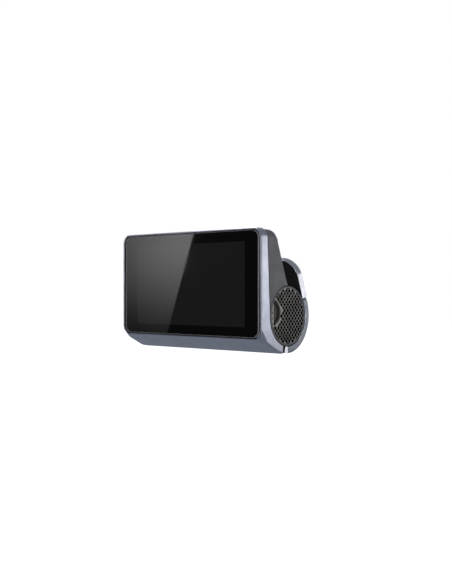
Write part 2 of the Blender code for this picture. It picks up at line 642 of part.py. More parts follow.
# ---- lens drum, in its own frame: local X along the barrel, local Z out along the lens ----
def lens_unit():
    inner = BARREL_RADIUS - BARREL_WALL
    bore = PIVOT_RADIUS + GAP
    wall = DRUM_HALF - 1.8
    profile = [(BARREL_RADIUS, DRUM_HALF), (BARREL_RADIUS, -DRUM_HALF), (bore, -DRUM_HALF), (bore, -wall)]
    profile += [(inner, -wall), (inner, wall), (bore, wall), (bore, DRUM_HALF)]
    drum = turned("lens_drum", profile, 40)
    drum.location = (0.0, 0.0, 0.0)
    hole = turned("lens_hole", disc_profile(LENS_RADIUS + GAP, 5.0, 20.0), 32, True, "Z")
    cut(drum, hole, parent=LENS_FRAME)
    place(drum, LENS_FRAME, BLACK)

    step = 11.6
    barrel = [(LENS_RADIUS, LENS_TIP), (LENS_RADIUS, 1.2), (4.4, 1.2)]
    barrel += [(4.4, step), (6.2, step), (6.2, LENS_TIP)]
    lift = LENS_TIP + GAP
    trim = [(LENS_RADIUS - 0.2, lift + 1.2), (LENS_RADIUS, lift + 0.9), (LENS_RADIUS, lift), (6.2, lift), (6.6, lift + 1.2)]
    seat = step + GAP
    front = [(0.0, LENS_TIP + 0.6), (2.5, LENS_TIP + 0.4), (4.5, LENS_TIP - 0.1), (5.9, LENS_TIP - 0.9)]
    front += [(5.9, seat), (0.0, seat)]
    rear = [(0.0, 9.6), (2.5, 9.3), (4.1, 8.6), (4.1, 7.8), (2.5, 7.2), (0.0, 7.0)]
    middle = [(0.0, 4.4), (4.1, 5.4), (4.1, 3.2), (0.0, 3.8)]
    shapes = [("lens_barrel", barrel, BLACK), ("lens_trim_ring", trim, SILVER), ("front_lens", front, LENS)]
    shapes += [("rear_lens", rear, LENS), ("middle_lens", middle, LENS)]
    for name, outline, paint in shapes:
        place(turned(name, outline, 32, along="Z"), LENS_FRAME, paint)
    place(box("infrared_filter", (-3.8, -3.8, 0.45), (3.8, 3.8, 0.85)), LENS_FRAME, LENS)
    place(box("image_sensor", (-4.5, -3.8, -0.9), (4.5, 3.8, 0.15)), LENS_FRAME, CHIP)
    place(box("sensor_board", (-12.0, -9.0, -2.3), (12.0, 9.0, -1.2)), LENS_FRAME, BOARD)
    cable = turned("sensor_cable", disc_profile(1.6, 12.4, 29.6), 12)
    cable.location = (0.0, 0.0, 0.0)
    place(cable, LENS_FRAME, RUBBER)


# ---- windscreen bracket ----
def rear_shell():
    """The silver shell round the back of the barrel, with a window for the lens."""
    outline = arc(AXIS, BAND_OUTER, SHELL_FROM, SHELL_TO, 24)
    outline += arc(AXIS, BAND_INNER, SHELL_TO, SHELL_FROM, 24)
    shell = flat_solid("rear_shell", [outline], -HALF_WIDTH, HALF_WIDTH, SIDE)
    sector = arc(AXIS, BAND_OUTER + 3.0, WINDOW_FROM, WINDOW_TO, 16)
    sector += arc(AXIS, BAND_INNER - 2.0, WINDOW_TO, WINDOW_FROM, 16)
    cut(shell, flat_solid("lens_window", [sector], -WINDOW_HALF, WINDOW_HALF, SIDE, True))
    arm_x = sum(ARM_X) / 2
    hole = [(0.0, 20.0), (SCREW_RADIUS + GAP, 20.0), (SCREW_RADIUS + GAP, 12.5), (0.0, 12.5)]
    top = BAND_OUTER - 0.3
    rod = [(0.0, top), (SCREW_RADIUS - 0.2, top), (SCREW_RADIUS, top - 0.3)]
    rod += [(SCREW_RADIUS, BARREL_RADIUS + GAP), (0.0, BARREL_RADIUS + GAP)]
    for x, side in ((-arm_x, "left"), (arm_x, "right")):
        for angle, level in zip(SHELL_SCREWS, ("upper", "lower")):
            bore = turned(f"screw_hole_{level}_{side}", hole, 12, True, "Z")
            bore.location = Vector((x, AXIS_Y, AXIS_Z)) * MM
            bore.rotation_euler = (radians(angle - 90.0), 0.0, 0.0)
            cut(shell, bore)
            screw(f"shell_screw_{level}_{side}", (x, AXIS_Y, AXIS_Z), angle, rod, STEEL)
    place(shell, DESIGN, SILVER)


def plate_outline(inset):
    radius = PLATE_CORNER - inset
    low = (-HALF_WIDTH + inset, inset)
    return rounded_box(low, (HALF_WIDTH - inset, PLATE_HEIGHT - inset), [0.5, 0.5, radius, radius], 8)


def windscreen_plate():
    """The plate that is stuck to the windscreen, in its own frame: local Z up it, local Y out of it."""
    half = PLATE_THICK / 2
    rim = flat_solid("windscreen_plate", [plate_outline(0.0)], -half, half, FACE)
    pocket = flat_solid("plate_pocket", [plate_outline(0.6)], -half - 1.0, -half + 1.0, FACE, True)
    cut(rim, pocket, parent=PLATE_FRAME)
    place(rim, PLATE_FRAME, SILVER)
    panel = flat_solid("plate_panel", [plate_outline(0.6 + GAP)], -half + 0.05, -half + 0.7, FACE)
    place(panel, PLATE_FRAME, BLACK)
    pad_outline = centred_box((0.0, PAD_MIDDLE), PAD_SIZE, 2.5)
    pad = flat_solid("adhesive_pad", [pad_outline], half + GAP, half + GAP + PAD_THICK, FACE)
    place(pad, PLATE_FRAME, FOAM)


front_frame()
back_cover()
screen_stack()
electronics()
power_button()
grilles()
card_parts()
barrel_tubes()
speaker()
hinge()
lens_unit()
rear_shell()
windscreen_plate()
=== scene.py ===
"""Looks of the dash camera: finer shells, grille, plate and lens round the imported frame, and a studio.

Sizes are in millimetres in the design frame, whose origin is the middle of the screen glass's front:
X runs along the screen, Y runs away from the driver, and Z is up. finish_mesh turns them into metres."""

from math import acos, asin, cos, degrees, hypot, pi, radians, sin, sqrt

import bmesh
import bpy
from mathutils import Matrix, Vector

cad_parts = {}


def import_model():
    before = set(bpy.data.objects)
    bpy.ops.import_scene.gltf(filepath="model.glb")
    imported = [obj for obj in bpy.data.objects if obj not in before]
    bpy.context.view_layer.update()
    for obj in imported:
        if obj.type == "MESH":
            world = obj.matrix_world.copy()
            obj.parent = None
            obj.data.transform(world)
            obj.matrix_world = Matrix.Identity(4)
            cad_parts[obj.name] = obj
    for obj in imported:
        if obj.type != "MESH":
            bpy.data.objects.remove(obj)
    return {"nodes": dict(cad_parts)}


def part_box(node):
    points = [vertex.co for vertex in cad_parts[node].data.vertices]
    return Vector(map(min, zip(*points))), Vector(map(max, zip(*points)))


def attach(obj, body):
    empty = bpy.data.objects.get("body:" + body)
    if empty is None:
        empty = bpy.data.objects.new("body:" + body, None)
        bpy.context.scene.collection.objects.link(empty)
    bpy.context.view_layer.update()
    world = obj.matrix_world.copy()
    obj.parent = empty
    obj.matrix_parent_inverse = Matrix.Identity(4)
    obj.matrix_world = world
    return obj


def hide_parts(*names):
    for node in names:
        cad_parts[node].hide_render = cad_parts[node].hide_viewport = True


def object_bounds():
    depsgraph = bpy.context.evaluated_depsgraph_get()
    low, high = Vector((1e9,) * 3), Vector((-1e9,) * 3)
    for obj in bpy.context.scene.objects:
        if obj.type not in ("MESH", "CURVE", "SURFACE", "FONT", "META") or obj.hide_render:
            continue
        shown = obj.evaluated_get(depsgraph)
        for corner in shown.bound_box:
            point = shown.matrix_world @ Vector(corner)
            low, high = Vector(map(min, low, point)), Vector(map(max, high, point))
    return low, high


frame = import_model()
cad_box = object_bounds()

MM = 0.001
SAME_POINT = 0.001  # millimetres within which mesh points are merged
glass_low, glass_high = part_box("cover_glass")
ORIGIN = Vector((0.0, glass_low.y, (glass_low.z + glass_high.z) / 2))
frame_low, frame_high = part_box("front_frame")
HALF = frame_high.x / MM  # half of the camera's width
TOP = (frame_high.z - ORIGIN.z) / MM
FRONT = (frame_low.y - ORIGIN.y) / MM
AXIS = (19.27, -14.25)  # (y, z) of the barrel's axis
END_RADIUS = 13.36  # of the grille's rim
BARREL_RADIUS = 13.2
BAND = (13.66, 16.6)  # inner and outer radius of the bracket's shell
GAP = 0.3  # clearance between neighbouring parts
SEAM_TOP = (3.72, 24.4)  # (y, z) ends of the seam between frame and cover
SEAM_LOW = (5.66, -13.1)
BACK_SLOPE = 20.7  # degrees from upright
BACK_FOOT = (18.7, -0.33)  # (y, z) of a point on the sloping back
COVER_TOP = 23.9
CHIN_SLOPE = 27.0
CHIN_START = 0.3  # y where the underside begins to fall away
CHIN_RADIUS = 12.3
CHIN_LOW = (16.4, -31.0)  # (y, z) of the lowest point of the underside's arc
CHIN_END = 15.43
FRAME_LOW = -24.3
CORNER = 4.3
PLATE_FOOT = (32.5, -6.5)  # (y, z) of the plate's lower end
PLATE_LEAN = 19.7
PLATE_SIZE = (19.3, 3.5, 9.0)  # height, thickness, corner radius
SHELL_FROM, SHELL_TO = -95.0, 28.5  # degrees about the barrel's axis, from straight back
WINDOW_FROM, WINDOW_TO = -85.0, 11.0  # the lens window's ends, measured the same way
WINDOW_HALF = 14.0
LENS_AIM = -37.0  # elevation of the lens's axis behind the barrel
LENS_RADIUS = 7.2
LENS_TIP = 14.8
SLOT_Y = (8.55, 9.6)
SLOT_Z = (-18.05, -6.95)
SCOOP = (8.18, -12.5)  # (y, z) of the thumb scoop's centre
SCOOP_RADIUS = 5.25
SCREW_X = 18.3
SCREWS = (("upper", 17.0), ("lower", -87.5))  # angle of each row about the barrel's axis
PAD_HALF = (35.0, 6.5)
PAD_HEIGHT = 9.4  # of the pad's middle over the plate's foot


# ---- meshes ----
def world(x, y, z):
    """A point of the design frame, in metres."""
    return ORIGIN + Vector((x, y, z)) * MM


DESIGN = Matrix.Translation(ORIGIN)


def turned_frame(y, z, turn):
    """A frame with its origin at (y, z) on the middle plane, turned about X."""
    return DESIGN @ Matrix.Translation(Vector((0.0, y, z)) * MM) @ Matrix.Rotation(radians(turn), 4, "X")


BARREL = turned_frame(*AXIS, 0.0)
LENS = turned_frame(*AXIS, LENS_AIM - 90.0)
PLATE = turned_frame(*PLATE_FOOT, PLATE_LEAN)


def finish_mesh(name, bm, matrix=None, smooth=30.0):
    """Puts the bmesh, in millimetres, into a new object in metres with smooth shading."""
    bmesh.ops.remove_doubles(bm, verts=bm.verts, dist=SAME_POINT)
    bmesh.ops.scale(bm, vec=(MM, MM, MM), verts=bm.verts)
    bmesh.ops.transform(bm, matrix=matrix or DESIGN, verts=bm.verts)
    bmesh.ops.recalc_face_normals(bm, faces=bm.faces)
    mesh = bpy.data.meshes.new(name)
    bm.to_mesh(mesh)
    bm.free()
    mesh.shade_smooth()
    mesh.set_sharp_from_angle(angle=radians(smooth))
    obj = bpy.data.objects.new(name, mesh)
    bpy.context.scene.collection.objects.link(obj)
    return obj


def ride(obj, body, paint, replaces=()):
    """Gives the piece its finish, its moving body and the CAD nodes that it stands for."""
    obj.data.materials.clear()
    obj.data.materials.append(paint)
    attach(obj, body)
    if replaces:
        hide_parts(*replaces)
    return obj


def skin(name, rings, closed_along=False, caps=False, matrix=None, smooth=30.0):
    """Quads between neighbouring closed rings of (x, y, z) points."""
    bm = bmesh.new()
    rows = [[bm.verts.new(point) for point in ring] for ring in rings]
    pairs = list(zip(rows, rows[1:])) + ([(rows[-1], rows[0])] if closed_along else [])
    for row, following in pairs:
        for i in range(len(row)):
            j = (i + 1) % len(row)
            bm.faces.new((row[i], row[j], following[j], following[i]))
    if caps:
        bm.faces.new(rows[0])
        bm.faces.new(rows[-1])
    return finish_mesh(name, bm, matrix, smooth=smooth)


def wall_between(name, outer, inner, matrix=None, smooth=32.0):
    """A closed wall between two open sheets of the same rows and columns."""
    bm = bmesh.new()
    sheets = [[[bm.verts.new(point) for point in row] for row in sheet] for sheet in (outer, inner)]
    last, end = len(outer) - 1, len(outer[0]) - 1
    for sheet in sheets:
        for row, following in zip(sheet, sheet[1:]):
            for i in range(end):
                bm.faces.new((row[i], row[i + 1], following[i + 1], following[i]))
    far, near = sheets
    for j in (0, last):
        for i in range(end):
            bm.faces.new((far[j][i], far[j][i + 1], near[j][i + 1], near[j][i]))
    for i in (0, end):
        for j in range(last):
            bm.faces.new((far[j][i], far[j + 1][i], near[j + 1][i], near[j][i]))
    return finish_mesh(name, bm, matrix, smooth=smooth)


def arc(centre, radius, start, end, steps):
    """Points of an arc between two angles in degrees."""
    turns = [radians(start + (end - start) * i / steps) for i in range(steps + 1)]
    return [(centre[0] + radius * cos(t), centre[1] + radius * sin(t)) for t in turns]


def circle(centre, radius, steps):
    """Points all round a circle, with none repeated."""
    return arc(centre, radius, 0.0, 360.0, steps)[:-1]


def rounded_box(low, high, radii, steps=10):
    """A rectangle's outline from its lower left corner round, with one radius for each corner."""
    corners = [(low[0], low[1]), (high[0], low[1]), (high[0], high[1]), (low[0], high[1])]
    inward = [(1, 1), (-1, 1), (-1, -1), (1, -1)]
    points = []
    for i, (corner, side, radius) in enumerate(zip(corners, inward, radii)):
        centre = (corner[0] + side[0] * radius, corner[1] + side[1] * radius)
        points += arc(centre, radius, 180.0 + 90.0 * i, 270.0 + 90.0 * i, steps)
    return points


SIDE = Matrix.Rotation(radians(90.0), 4, "Z") @ Matrix.Rotation(radians(90.0), 4, "X")
FACE = Matrix.Rotation(radians(90.0), 4, "X")


def plate(name, loops, low, high, facing, edge=0.0, matrix=None, steps=3):
    """A flat outline with holes, from low to high along X (SIDE) or -Y (FACE), its edges rounded."""
    curve = bpy.data.curves.new(name, "CURVE")
    curve.dimensions = "2D"
    curve.fill_mode = "BOTH"
    curve.extrude = (high - low) / 2 - edge
    curve.bevel_depth = edge
    curve.bevel_resolution = steps
    curve.offset = -edge
    for loop in loops:
        spline = curve.splines.new("POLY")
        spline.points.add(len(loop) - 1)
        for point, (u, v) in zip(spline.points, loop):
            point.co = (u, v, 0.0, 1.0)
        spline.use_cyclic_u = True
    drawn = bpy.data.objects.new(name, curve)
    bpy.context.scene.collection.objects.link(drawn)
    mesh = bpy.data.meshes.new_from_object(drawn.evaluated_get(bpy.context.evaluated_depsgraph_get()))
    bpy.data.objects.remove(drawn)
    bm = bmesh.new()
    bm.from_mesh(mesh)
    bpy.data.meshes.remove(mesh)
    middle = (low + high) / 2
    shift = Vector((middle, 0.0, 0.0)) if facing is SIDE else Vector((0.0, middle, 0.0))
    bmesh.ops.transform(bm, matrix=Matrix.Translation(shift) @ facing, verts=bm.verts)
    return weighted(finish_mesh(name, bm, matrix, smooth=40.0))


def weighted(obj):
    """Lets the large faces set the shading, so that flat faces stay flat up to their rounded edges."""
    normals = obj.modifiers.new("normals", "WEIGHTED_NORMAL")
    normals.keep_sharp = True
    return obj


def lathe(name, profile, matrix, along="Z", steps=96, smooth=30.0):
    """A closed (radius, height) profile turned about the matrix's Z or X."""
    rings = []
    for i in range(steps):
        turn = 2 * pi * i / steps
        if along == "Z":
            rings.append([(r * cos(turn), r * sin(turn), h) for r, h in profile])
        else:
            rings.append([(h, r * cos(turn), r * sin(turn)) for r, h in profile])
    return skin(name, rings, closed_along=True, matrix=matrix, smooth=smooth)


def soften(obj, width, segments=3, angle=40.0):
    """Rounds the edges that turn by more than the angle."""
    bevel = obj.modifiers.new("edges", "BEVEL")
    bevel.width = width * MM
    bevel.segments = segments
    bevel.limit_method = "ANGLE"
    bevel.angle_limit = radians(angle)
    return weighted(obj)


def carve(obj, cutter):
    """Cuts one object from another for good."""
    modifier = obj.modifiers.new("cut", "BOOLEAN")
    modifier.operation = "DIFFERENCE"
    modifier.solver = "EXACT"
    modifier.object = cutter
    graph = bpy.context.evaluated_depsgraph_get()
    mesh = bpy.data.meshes.new_from_object(obj.evaluated_get(graph))
    obj.modifiers.clear()
    old = obj.data
    obj.data = mesh
    bpy.data.meshes.remove(old)
    mesh.shade_smooth()
    mesh.set_sharp_from_angle(angle=radians(30.0))
    bpy.data.objects.remove(cutter)
    return weighted(obj)


# ---- finishes ----
def nodes_of(material):
    """The material's node tree, its nodes and links, and its main shader."""
    tree = material.node_tree
    return tree, tree.nodes, tree.links, tree.nodes["Principled BSDF"]


def noise(tree, scale, detail=2.0, stretch=(1.0, 1.0, 1.0)):
    """Noise over the object's own coordinates, with scale in features per metre."""
    place = tree.nodes.new("ShaderNodeTexCoord")
    mapping = tree.nodes.new("ShaderNodeMapping")
    mapping.inputs["Scale"].default_value = stretch
    texture = tree.nodes.new("ShaderNodeTexNoise")
    texture.inputs["Scale"].default_value = scale
    texture.inputs["Detail"].default_value = detail
    tree.links.new(place.outputs["Object"], mapping.inputs["Vector"])
    tree.links.new(mapping.outputs["Vector"], texture.inputs["Vector"])
    return texture.outputs["Fac"]


def ranged(tree, value, low, high, new_low, new_high):
    """A value mapped smoothly from one range to another."""
    node = tree.nodes.new("ShaderNodeMapRange")
    node.interpolation_type = "SMOOTHSTEP"
    for end, number in (("From Min", low), ("From Max", high), ("To Min", new_low), ("To Max", new_high)):
        node.inputs[end].default_value = number
    tree.links.new(value, node.inputs["Value"])
    return node.outputs["Result"]


def mixed(tree, factor, first, second):
    """A colour between two, each a colour or a socket."""
    node = tree.nodes.new("ShaderNodeMix")
    node.data_type = "RGBA"
    tree.links.new(factor, node.inputs["Factor"])
    for name, colour in (("A", first), ("B", second)):
        socket = next(s for s in node.inputs if s.name == name and s.type == "RGBA")
        if isinstance(colour, tuple):
            socket.default_value = (*colour, 1.0)
        else:
            tree.links.new(colour, socket)
    return next(s for s in node.outputs if s.type == "RGBA")


def shade(colour, amount):
    """The colour made lighter or darker."""
    return tuple(min(1.0, channel * amount) for channel in colour)


def finish_of(name, colour, roughness, metallic=0.0, grain=1800.0, depth=0.004, mottle=0.06, uneven=0.06,
              wear=0.0, stretch=(1.0, 1.0, 1.0), coat=0.0, specular=0.5):
    """A finish with a cloudy colour, uneven gloss, a fine grain and worn edges.

    grain is in features per metre and depth in millimetres. mottle, uneven and wear are how far the
    colour, the roughness and the edges vary."""
    made = bpy.data.materials.new(name)
    made.use_nodes = True
    tree, nodes, links, shader = nodes_of(made)
    shader.inputs["Metallic"].default_value = metallic
    shader.inputs["Specular IOR Level"].default_value = specular
    shader.inputs["Coat Weight"].default_value = coat
    cloud = noise(tree, 90.0, 4.0)
    fine = noise(tree, grain, 3.0, stretch)
    cloudy = ranged(tree, cloud, 0.3, 0.7, 0.0, 1.0)
    tone = mixed(tree, cloudy, shade(colour, 1 - mottle), shade(colour, 1 + mottle))
    speck = mixed(tree, ranged(tree, fine, 0.35, 0.7, 0.0, 0.35), tone, shade(colour, 0.8))
    gloss = ranged(tree, noise(tree, 240.0, 5.0), 0.3, 0.7, roughness - uneven, roughness + uneven)
    if wear:
        edges = nodes.new("ShaderNodeNewGeometry")
        rubbed = ranged(tree, edges.outputs["Pointiness"], 0.52, 0.6, 0.0, wear)
        speck = mixed(tree, rubbed, speck, shade(colour, 1.35))
    links.new(speck, shader.inputs["Base Color"])
    links.new(gloss, shader.inputs["Roughness"])
    bump = nodes.new("ShaderNodeBump")
    bump.inputs["Distance"].default_value = depth * MM
    links.new(fine, bump.inputs["Height"])
    links.new(bump.outputs["Normal"], shader.inputs["Normal"])
    return made


def glass_finish():
    """Black glass over the display: the picture area shows slightly lighter than the printed border."""
    made = bpy.data.materials.new("cover_glass_finish")
    made.use_nodes = True
    tree, nodes, links, shader = nodes_of(made)
    place = nodes.new("ShaderNodeTexCoord")
    parts = nodes.new("ShaderNodeSeparateXYZ")
    links.new(place.outputs["Object"], parts.inputs["Vector"])
    low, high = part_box("display_panel")
    border, blur = 1.8 * MM, 0.25 * MM
    inside = None
    for axis, name in ((0, "X"), (2, "Z")):
        middle = (low[axis] + high[axis]) / 2
        half = (high[axis] - low[axis]) / 2 - border
        offset = nodes.new("ShaderNodeMath")
        offset.operation = "SUBTRACT"
        offset.inputs[1].default_value = middle
        links.new(parts.outputs[name], offset.inputs[0])
        distance = nodes.new("ShaderNodeMath")
        distance.operation = "ABSOLUTE"
        links.new(offset.outputs[0], distance.inputs[0])
        near = ranged(tree, distance.outputs[0], half - blur, half + blur, 1.0, 0.0)
        if inside is None:
            inside = near
        else:
            both = nodes.new("ShaderNodeMath")
            both.operation = "MULTIPLY"
            links.new(inside, both.inputs[0])
            links.new(near, both.inputs[1])
            inside = both.outputs[0]
    smudge = noise(tree, 60.0, 3.0)
    lit = mixed(tree, smudge, (0.0115, 0.0115, 0.0118), (0.0145, 0.0145, 0.0148))
    colour = mixed(tree, inside, (0.0034, 0.0034, 0.0035), lit)
    links.new(colour, shader.inputs["Base Color"])
    links.new(ranged(tree, smudge, 0.3, 0.7, 0.015, 0.04), shader.inputs["Roughness"])
    shader.inputs["IOR"].default_value = 1.5
    return made


SILVER = finish_of("silver_finish", (0.62, 0.63, 0.72), 0.34, 1.0, 2600.0, 0.003, 0.03, 0.04)
PLATE_SILVER = finish_of("plate_finish", (0.80, 0.80, 0.85), 0.30, 1.0, 2600.0, 0.002, 0.03, 0.04)
BAND_END = finish_of("band_end_finish", (0.335, 0.345, 0.375), 0.40, 1.0, 2600.0, 0.003, 0.03, 0.04)
# painted highlight: near-white and hardly metallic, standing in for the light that the band's lower chamfers
# catch
CHAMFER_HIGHLIGHT = finish_of("chamfer_finish", (0.85, 0.85, 0.90), 0.5, 0.1, 2600.0, 0.002, 0.03, 0.04)
GREY = finish_of("grey_finish", (0.086, 0.085, 0.088), 0.46, 0.0, 3200.0, 0.010, 0.05, 0.06, 0.25)
BLACK = finish_of("black_finish", (0.012, 0.012, 0.013), 0.42, 0.0, 2600.0, 0.008, 0.1, 0.08, 0.3)
STRAND = finish_of("grille_finish", (0.24, 0.23, 0.215), 0.34, 0.9, 2200.0, 0.004, 0.08, 0.08, 0.3)
RIM = finish_of("grille_rim_finish", (0.085, 0.085, 0.088), 0.38, 0.4, 2600.0, 0.006, 0.06, 0.06, 0.4)
DISH = finish_of("scoop_finish", (0.032, 0.028, 0.025), 0.45, 0.0, 2600.0, 0.006, 0.06, 0.06, 0.4)
STEEL = finish_of(
    "steel_finish", (0.50, 0.50, 0.51), 0.30, 1.0, 900.0, 0.004, 0.05, 0.07, 0.3, stretch=(1.0, 9.0, 1.0)
)
RUBBER = finish_of("rubber_finish", (0.020, 0.020, 0.021), 0.68, 0.0, 4200.0, 0.012, 0.1, 0.08)
CLOTH = finish_of("cloth_finish", (0.003, 0.003, 0.003), 0.95, 0.0, 5200.0, 0.02, 0.1, 0.02, specular=0.05)
FOAM = finish_of("foam_finish", (0.045, 0.045, 0.048), 0.85, 0.0, 3600.0, 0.05, 0.15, 0.08)
BOARD = finish_of("board_finish", (0.018, 0.085, 0.045), 0.42, 0.0, 700.0, 0.02, 0.15, 0.1)
CHIP = finish_of("chip_finish", (0.022, 0.022, 0.024), 0.48, 0.0, 5200.0, 0.006, 0.12, 0.08)
CERAMIC = finish_of("ceramic_finish", (0.52, 0.50, 0.44), 0.5, 0.0, 2600.0, 0.006, 0.06, 0.06)
FLEX = finish_of("flex_finish", (0.34, 0.16, 0.035), 0.36, 0.0, 1500.0, 0.01, 0.08, 0.08)
PANEL = finish_of("panel_finish", (0.015, 0.015, 0.017), 0.25, 0.0, 2600.0, 0.002, 0.05, 0.05)
LENS_COAT = finish_of(
    "lens_finish", (0.010, 0.009, 0.022), 0.06, 0.0, 300.0, 0.0005, 0.2, 0.02, coat=1.0, specular=0.8
)
# painted highlight: a grey ring standing in for the light line along the glass's bevelled edge
GLASS_EDGE_HIGHLIGHT = finish_of("glass_edge_finish", (0.34, 0.34, 0.36), 0.5, 0.0, 2600.0, 0.002, 0.05, 0.05)
GLASS = glass_finish()


# ---- the silver frame ----
TANGENT_Y = CHIN_LOW[0] + CHIN_RADIUS * cos(radians(270.0 - CHIN_SLOPE))


def chin_height(y):
    """Height of the underside at y: a straight slope, then an arc."""
    if y < TANGENT_Y:
        slope = radians(CHIN_SLOPE)
        return FRAME_LOW - max(0.0, y - CHIN_START) * sin(slope) / cos(slope)
    return CHIN_LOW[1] + CHIN_RADIUS - sqrt(CHIN_RADIUS**2 - (y - CHIN_LOW[0]) ** 2)


SLIT_Z = AXIS[1] - sqrt(BAND[0] ** 2 - (CHIN_END - AXIS[0]) ** 2)


def seam_y(z):
    """Where the frame ends behind, at height z: the seam with the cover, the grille's circle, or the slit."""
    if z >= SEAM_LOW[1]:
        share = (SEAM_TOP[1] - z) / (SEAM_TOP[1] - SEAM_LOW[1])
        return SEAM_TOP[0] + share * (SEAM_LOW[0] - SEAM_TOP[0])
    if z > SLIT_Z:
        return AXIS[0] - sqrt(BAND[0] ** 2 - (z - AXIS[1]) ** 2)
    return CHIN_END


def frame_point(key, y, inset):
    """A point of the frame's outline at depth y, drawn in by inset. The key is (part, share along it)."""
    part, share = key
    low_z = chin_height(y) + inset
    low_r = max(0.3, max(1.0, CORNER - 0.95 * max(0.0, y - CHIN_START)) - inset)
    top_r = CORNER - inset
    half, top = HALF - inset, TOP - inset
    if part == "bottom":
        return ((half - low_r) * (2 * share - 1), low_z)
    if part == "top":
        return ((half - top_r) * (1 - 2 * share), top)
    if part in ("right", "left"):
        z = top - top_r + (low_z + low_r - top + top_r) * share
        return (half if part == "right" else -half, z)
    turn = radians(90.0 * share)
    if part == "low_right":
        return (half - low_r + low_r * sin(turn), low_z + low_r - low_r * cos(turn))
    if part == "high_right":
        return (half - top_r + top_r * cos(turn), top - top_r + top_r * sin(turn))
    if part == "high_left":
        return (-half + top_r - top_r * sin(turn), top - top_r + top_r * cos(turn))
    return (-half + low_r - low_r * cos(turn), low_z + low_r - low_r * sin(turn))


def spread(start, end, steps):
    """Even steps from start, stopping short of end."""
    return [start + (end - start) * i / steps for i in range(steps)]


def frame_keys():
    """Keys round the frame, closer together beside the grille and in the corners."""
    seam_share = (TOP - CORNER - SEAM_LOW[1]) / (TOP - CORNER - chin_height(SEAM_LOW[0]) - 1.0)
    slit_share = (TOP - CORNER - SLIT_Z) / (TOP - CORNER - chin_height(CHIN_END) - 1.0)
    down = spread(0.0, seam_share, 14) + spread(seam_share, slit_share, 44) + spread(slit_share, 1.0, 5)
    up = [1.0 - i for i in spread(0.0, 1.0 - slit_share, 5)]
    up += spread(slit_share, seam_share, 44) + spread(seam_share, 0.0, 14)
    keys = [("bottom", t) for t in spread(0.0, 1.0, 40)] + [("low_right", t) for t in spread(0.0, 1.0, 12)]
    keys += [("right", t) for t in up] + [("high_right", t) for t in spread(0.0, 1.0, 16)]
    keys += [("top", t) for t in spread(0.0, 1.0, 40)] + [("high_left", t) for t in spread(0.0, 1.0, 16)]
    return keys + [("left", t) for t in down] + [("low_left", t) for t in spread(0.0, 1.0, 12)]


def frame_end(key, inset):
    """Depth at which the frame's outline meets its rear edge, on this key."""
    low, high = 1.0, CHIN_END
    for _ in range(40):
        middle = (low + high) / 2
        if middle < seam_y(frame_point(key, middle, inset)[1]):
            low = middle
        else:
            high = middle
    return high


def front_frame():
    """The frame as one closed strip: its lip, outer skin, rear edge, inner skin and the glass's seat."""
    keys = frame_keys()
    lip, lip_depth, edge, wall = 0.72, 0.6, 0.18, 1.5
    seat_back, seat_front = 2.7, 1.4
    ends = {inset: [frame_end(key, inset) for key in keys] for inset in (0.0, edge, wall - edge, wall)}

    def ring(inset, depth):
        """Depth is a number, or a function of the rear edge's depth."""
        points = []
        for i, key in enumerate(keys):
            y = depth(ends[inset][i]) if callable(depth) else depth
            x, z = frame_point(key, y, inset)
            points.append((x, y, z))
        return points

    def skin_row(inset, start, share):
        """A ring part of the way from the depth start to the rear edge."""
        return ring(inset, lambda end: start + (end - edge - start) * share)

    rings = []
    for i in range(6):
        turn = radians(90.0 * i / 6)
        rings.append(ring(lip * (1 - sin(turn)), FRONT + lip_depth * (1 - cos(turn))))
    rings += [skin_row(0.0, FRONT + lip_depth, t) for t in spread(0.0, 1.0, 30)]
    rings += [ring(0.0, lambda end: end - edge), ring(edge, lambda end: end)]
    rings += [ring(wall - edge, lambda end: end), ring(wall, lambda end: end - edge)]
    rings += [skin_row(wall, seat_back, 1 - t) for t in spread(0.1, 1.0, 8)]
    rings.append(ring(wall, seat_back))

    def seat(half_x, half_z, radius, y):
        """A rounded rectangle's ring at depth y, with a point for each key."""
        points = []
        for part, t in keys:
            turn = radians(90.0 * t)
            if part in ("bottom", "top"):
                sign = 1 if part == "bottom" else -1
                points.append((sign * (half_x - radius) * (2 * t - 1), y, -sign * half_z))
            elif part in ("right", "left"):
                points.append((half_x if part == "right" else -half_x, y, (half_z - radius) * (1 - 2 * t)))
            else:
                across, up = {
                    "low_right": (sin(turn), -cos(turn)),
                    "high_right": (cos(turn), sin(turn)),
                    "high_left": (-sin(turn), cos(turn)),
                    "low_left": (-cos(turn), -sin(turn)),
                }[part]
                x_centre = (half_x - radius) * (1 if "right" in part else -1)
                z_centre = (half_z - radius) * (1 if "high" in part else -1)
                points.append((x_centre + radius * across, y, z_centre + radius * up))
        return points

    half_x = (glass_high.x - glass_low.x) / 2 / MM + GAP
    half_z = (glass_high.z - glass_low.z) / 2 / MM + GAP
    rings += [seat(40.0, 21.8, 2.0, seat_back - 0.1), seat(40.0, 21.8, 2.0, seat_front)]
    rings += [seat(half_x, half_z, 4.1, seat_front), seat(half_x, half_z, 4.1, FRONT + 0.08)]
    obj = skin("front_frame_shell", rings, closed_along=True, smooth=32.0)
    ride(obj, "camera", SILVER, ["front_frame"])


front_frame()


# ---- the grey cover ----
USB_PLACE, USB_SIZE = (8.7, 3.6), (3.2, 8.9)  # (y, z), and sizes along Y and Z
KEY_PLACE, KEY_SIZE = (7.4, 15.0), (2.4, 7.6)
FOOT_FROM, FOOT_TO = 5.955, 19.0  # y of the cheek's foot where it meets the band's circle


def centred_box(centre, size, radius, steps=8):
    """The outline of a rectangle with rounded corners."""
    low = (centre[0] - size[0] / 2, centre[1] - size[1] / 2)
    high = (centre[0] + size[0] / 2, centre[1] + size[1] / 2)
    return rounded_box(low, high, [radius] * 4, steps)


def back_y(z):
    """Depth of the sloping back at height z."""
    slope = radians(BACK_SLOPE)
    return BACK_FOOT[0] - (z - BACK_FOOT[1]) * sin(slope) / cos(slope)


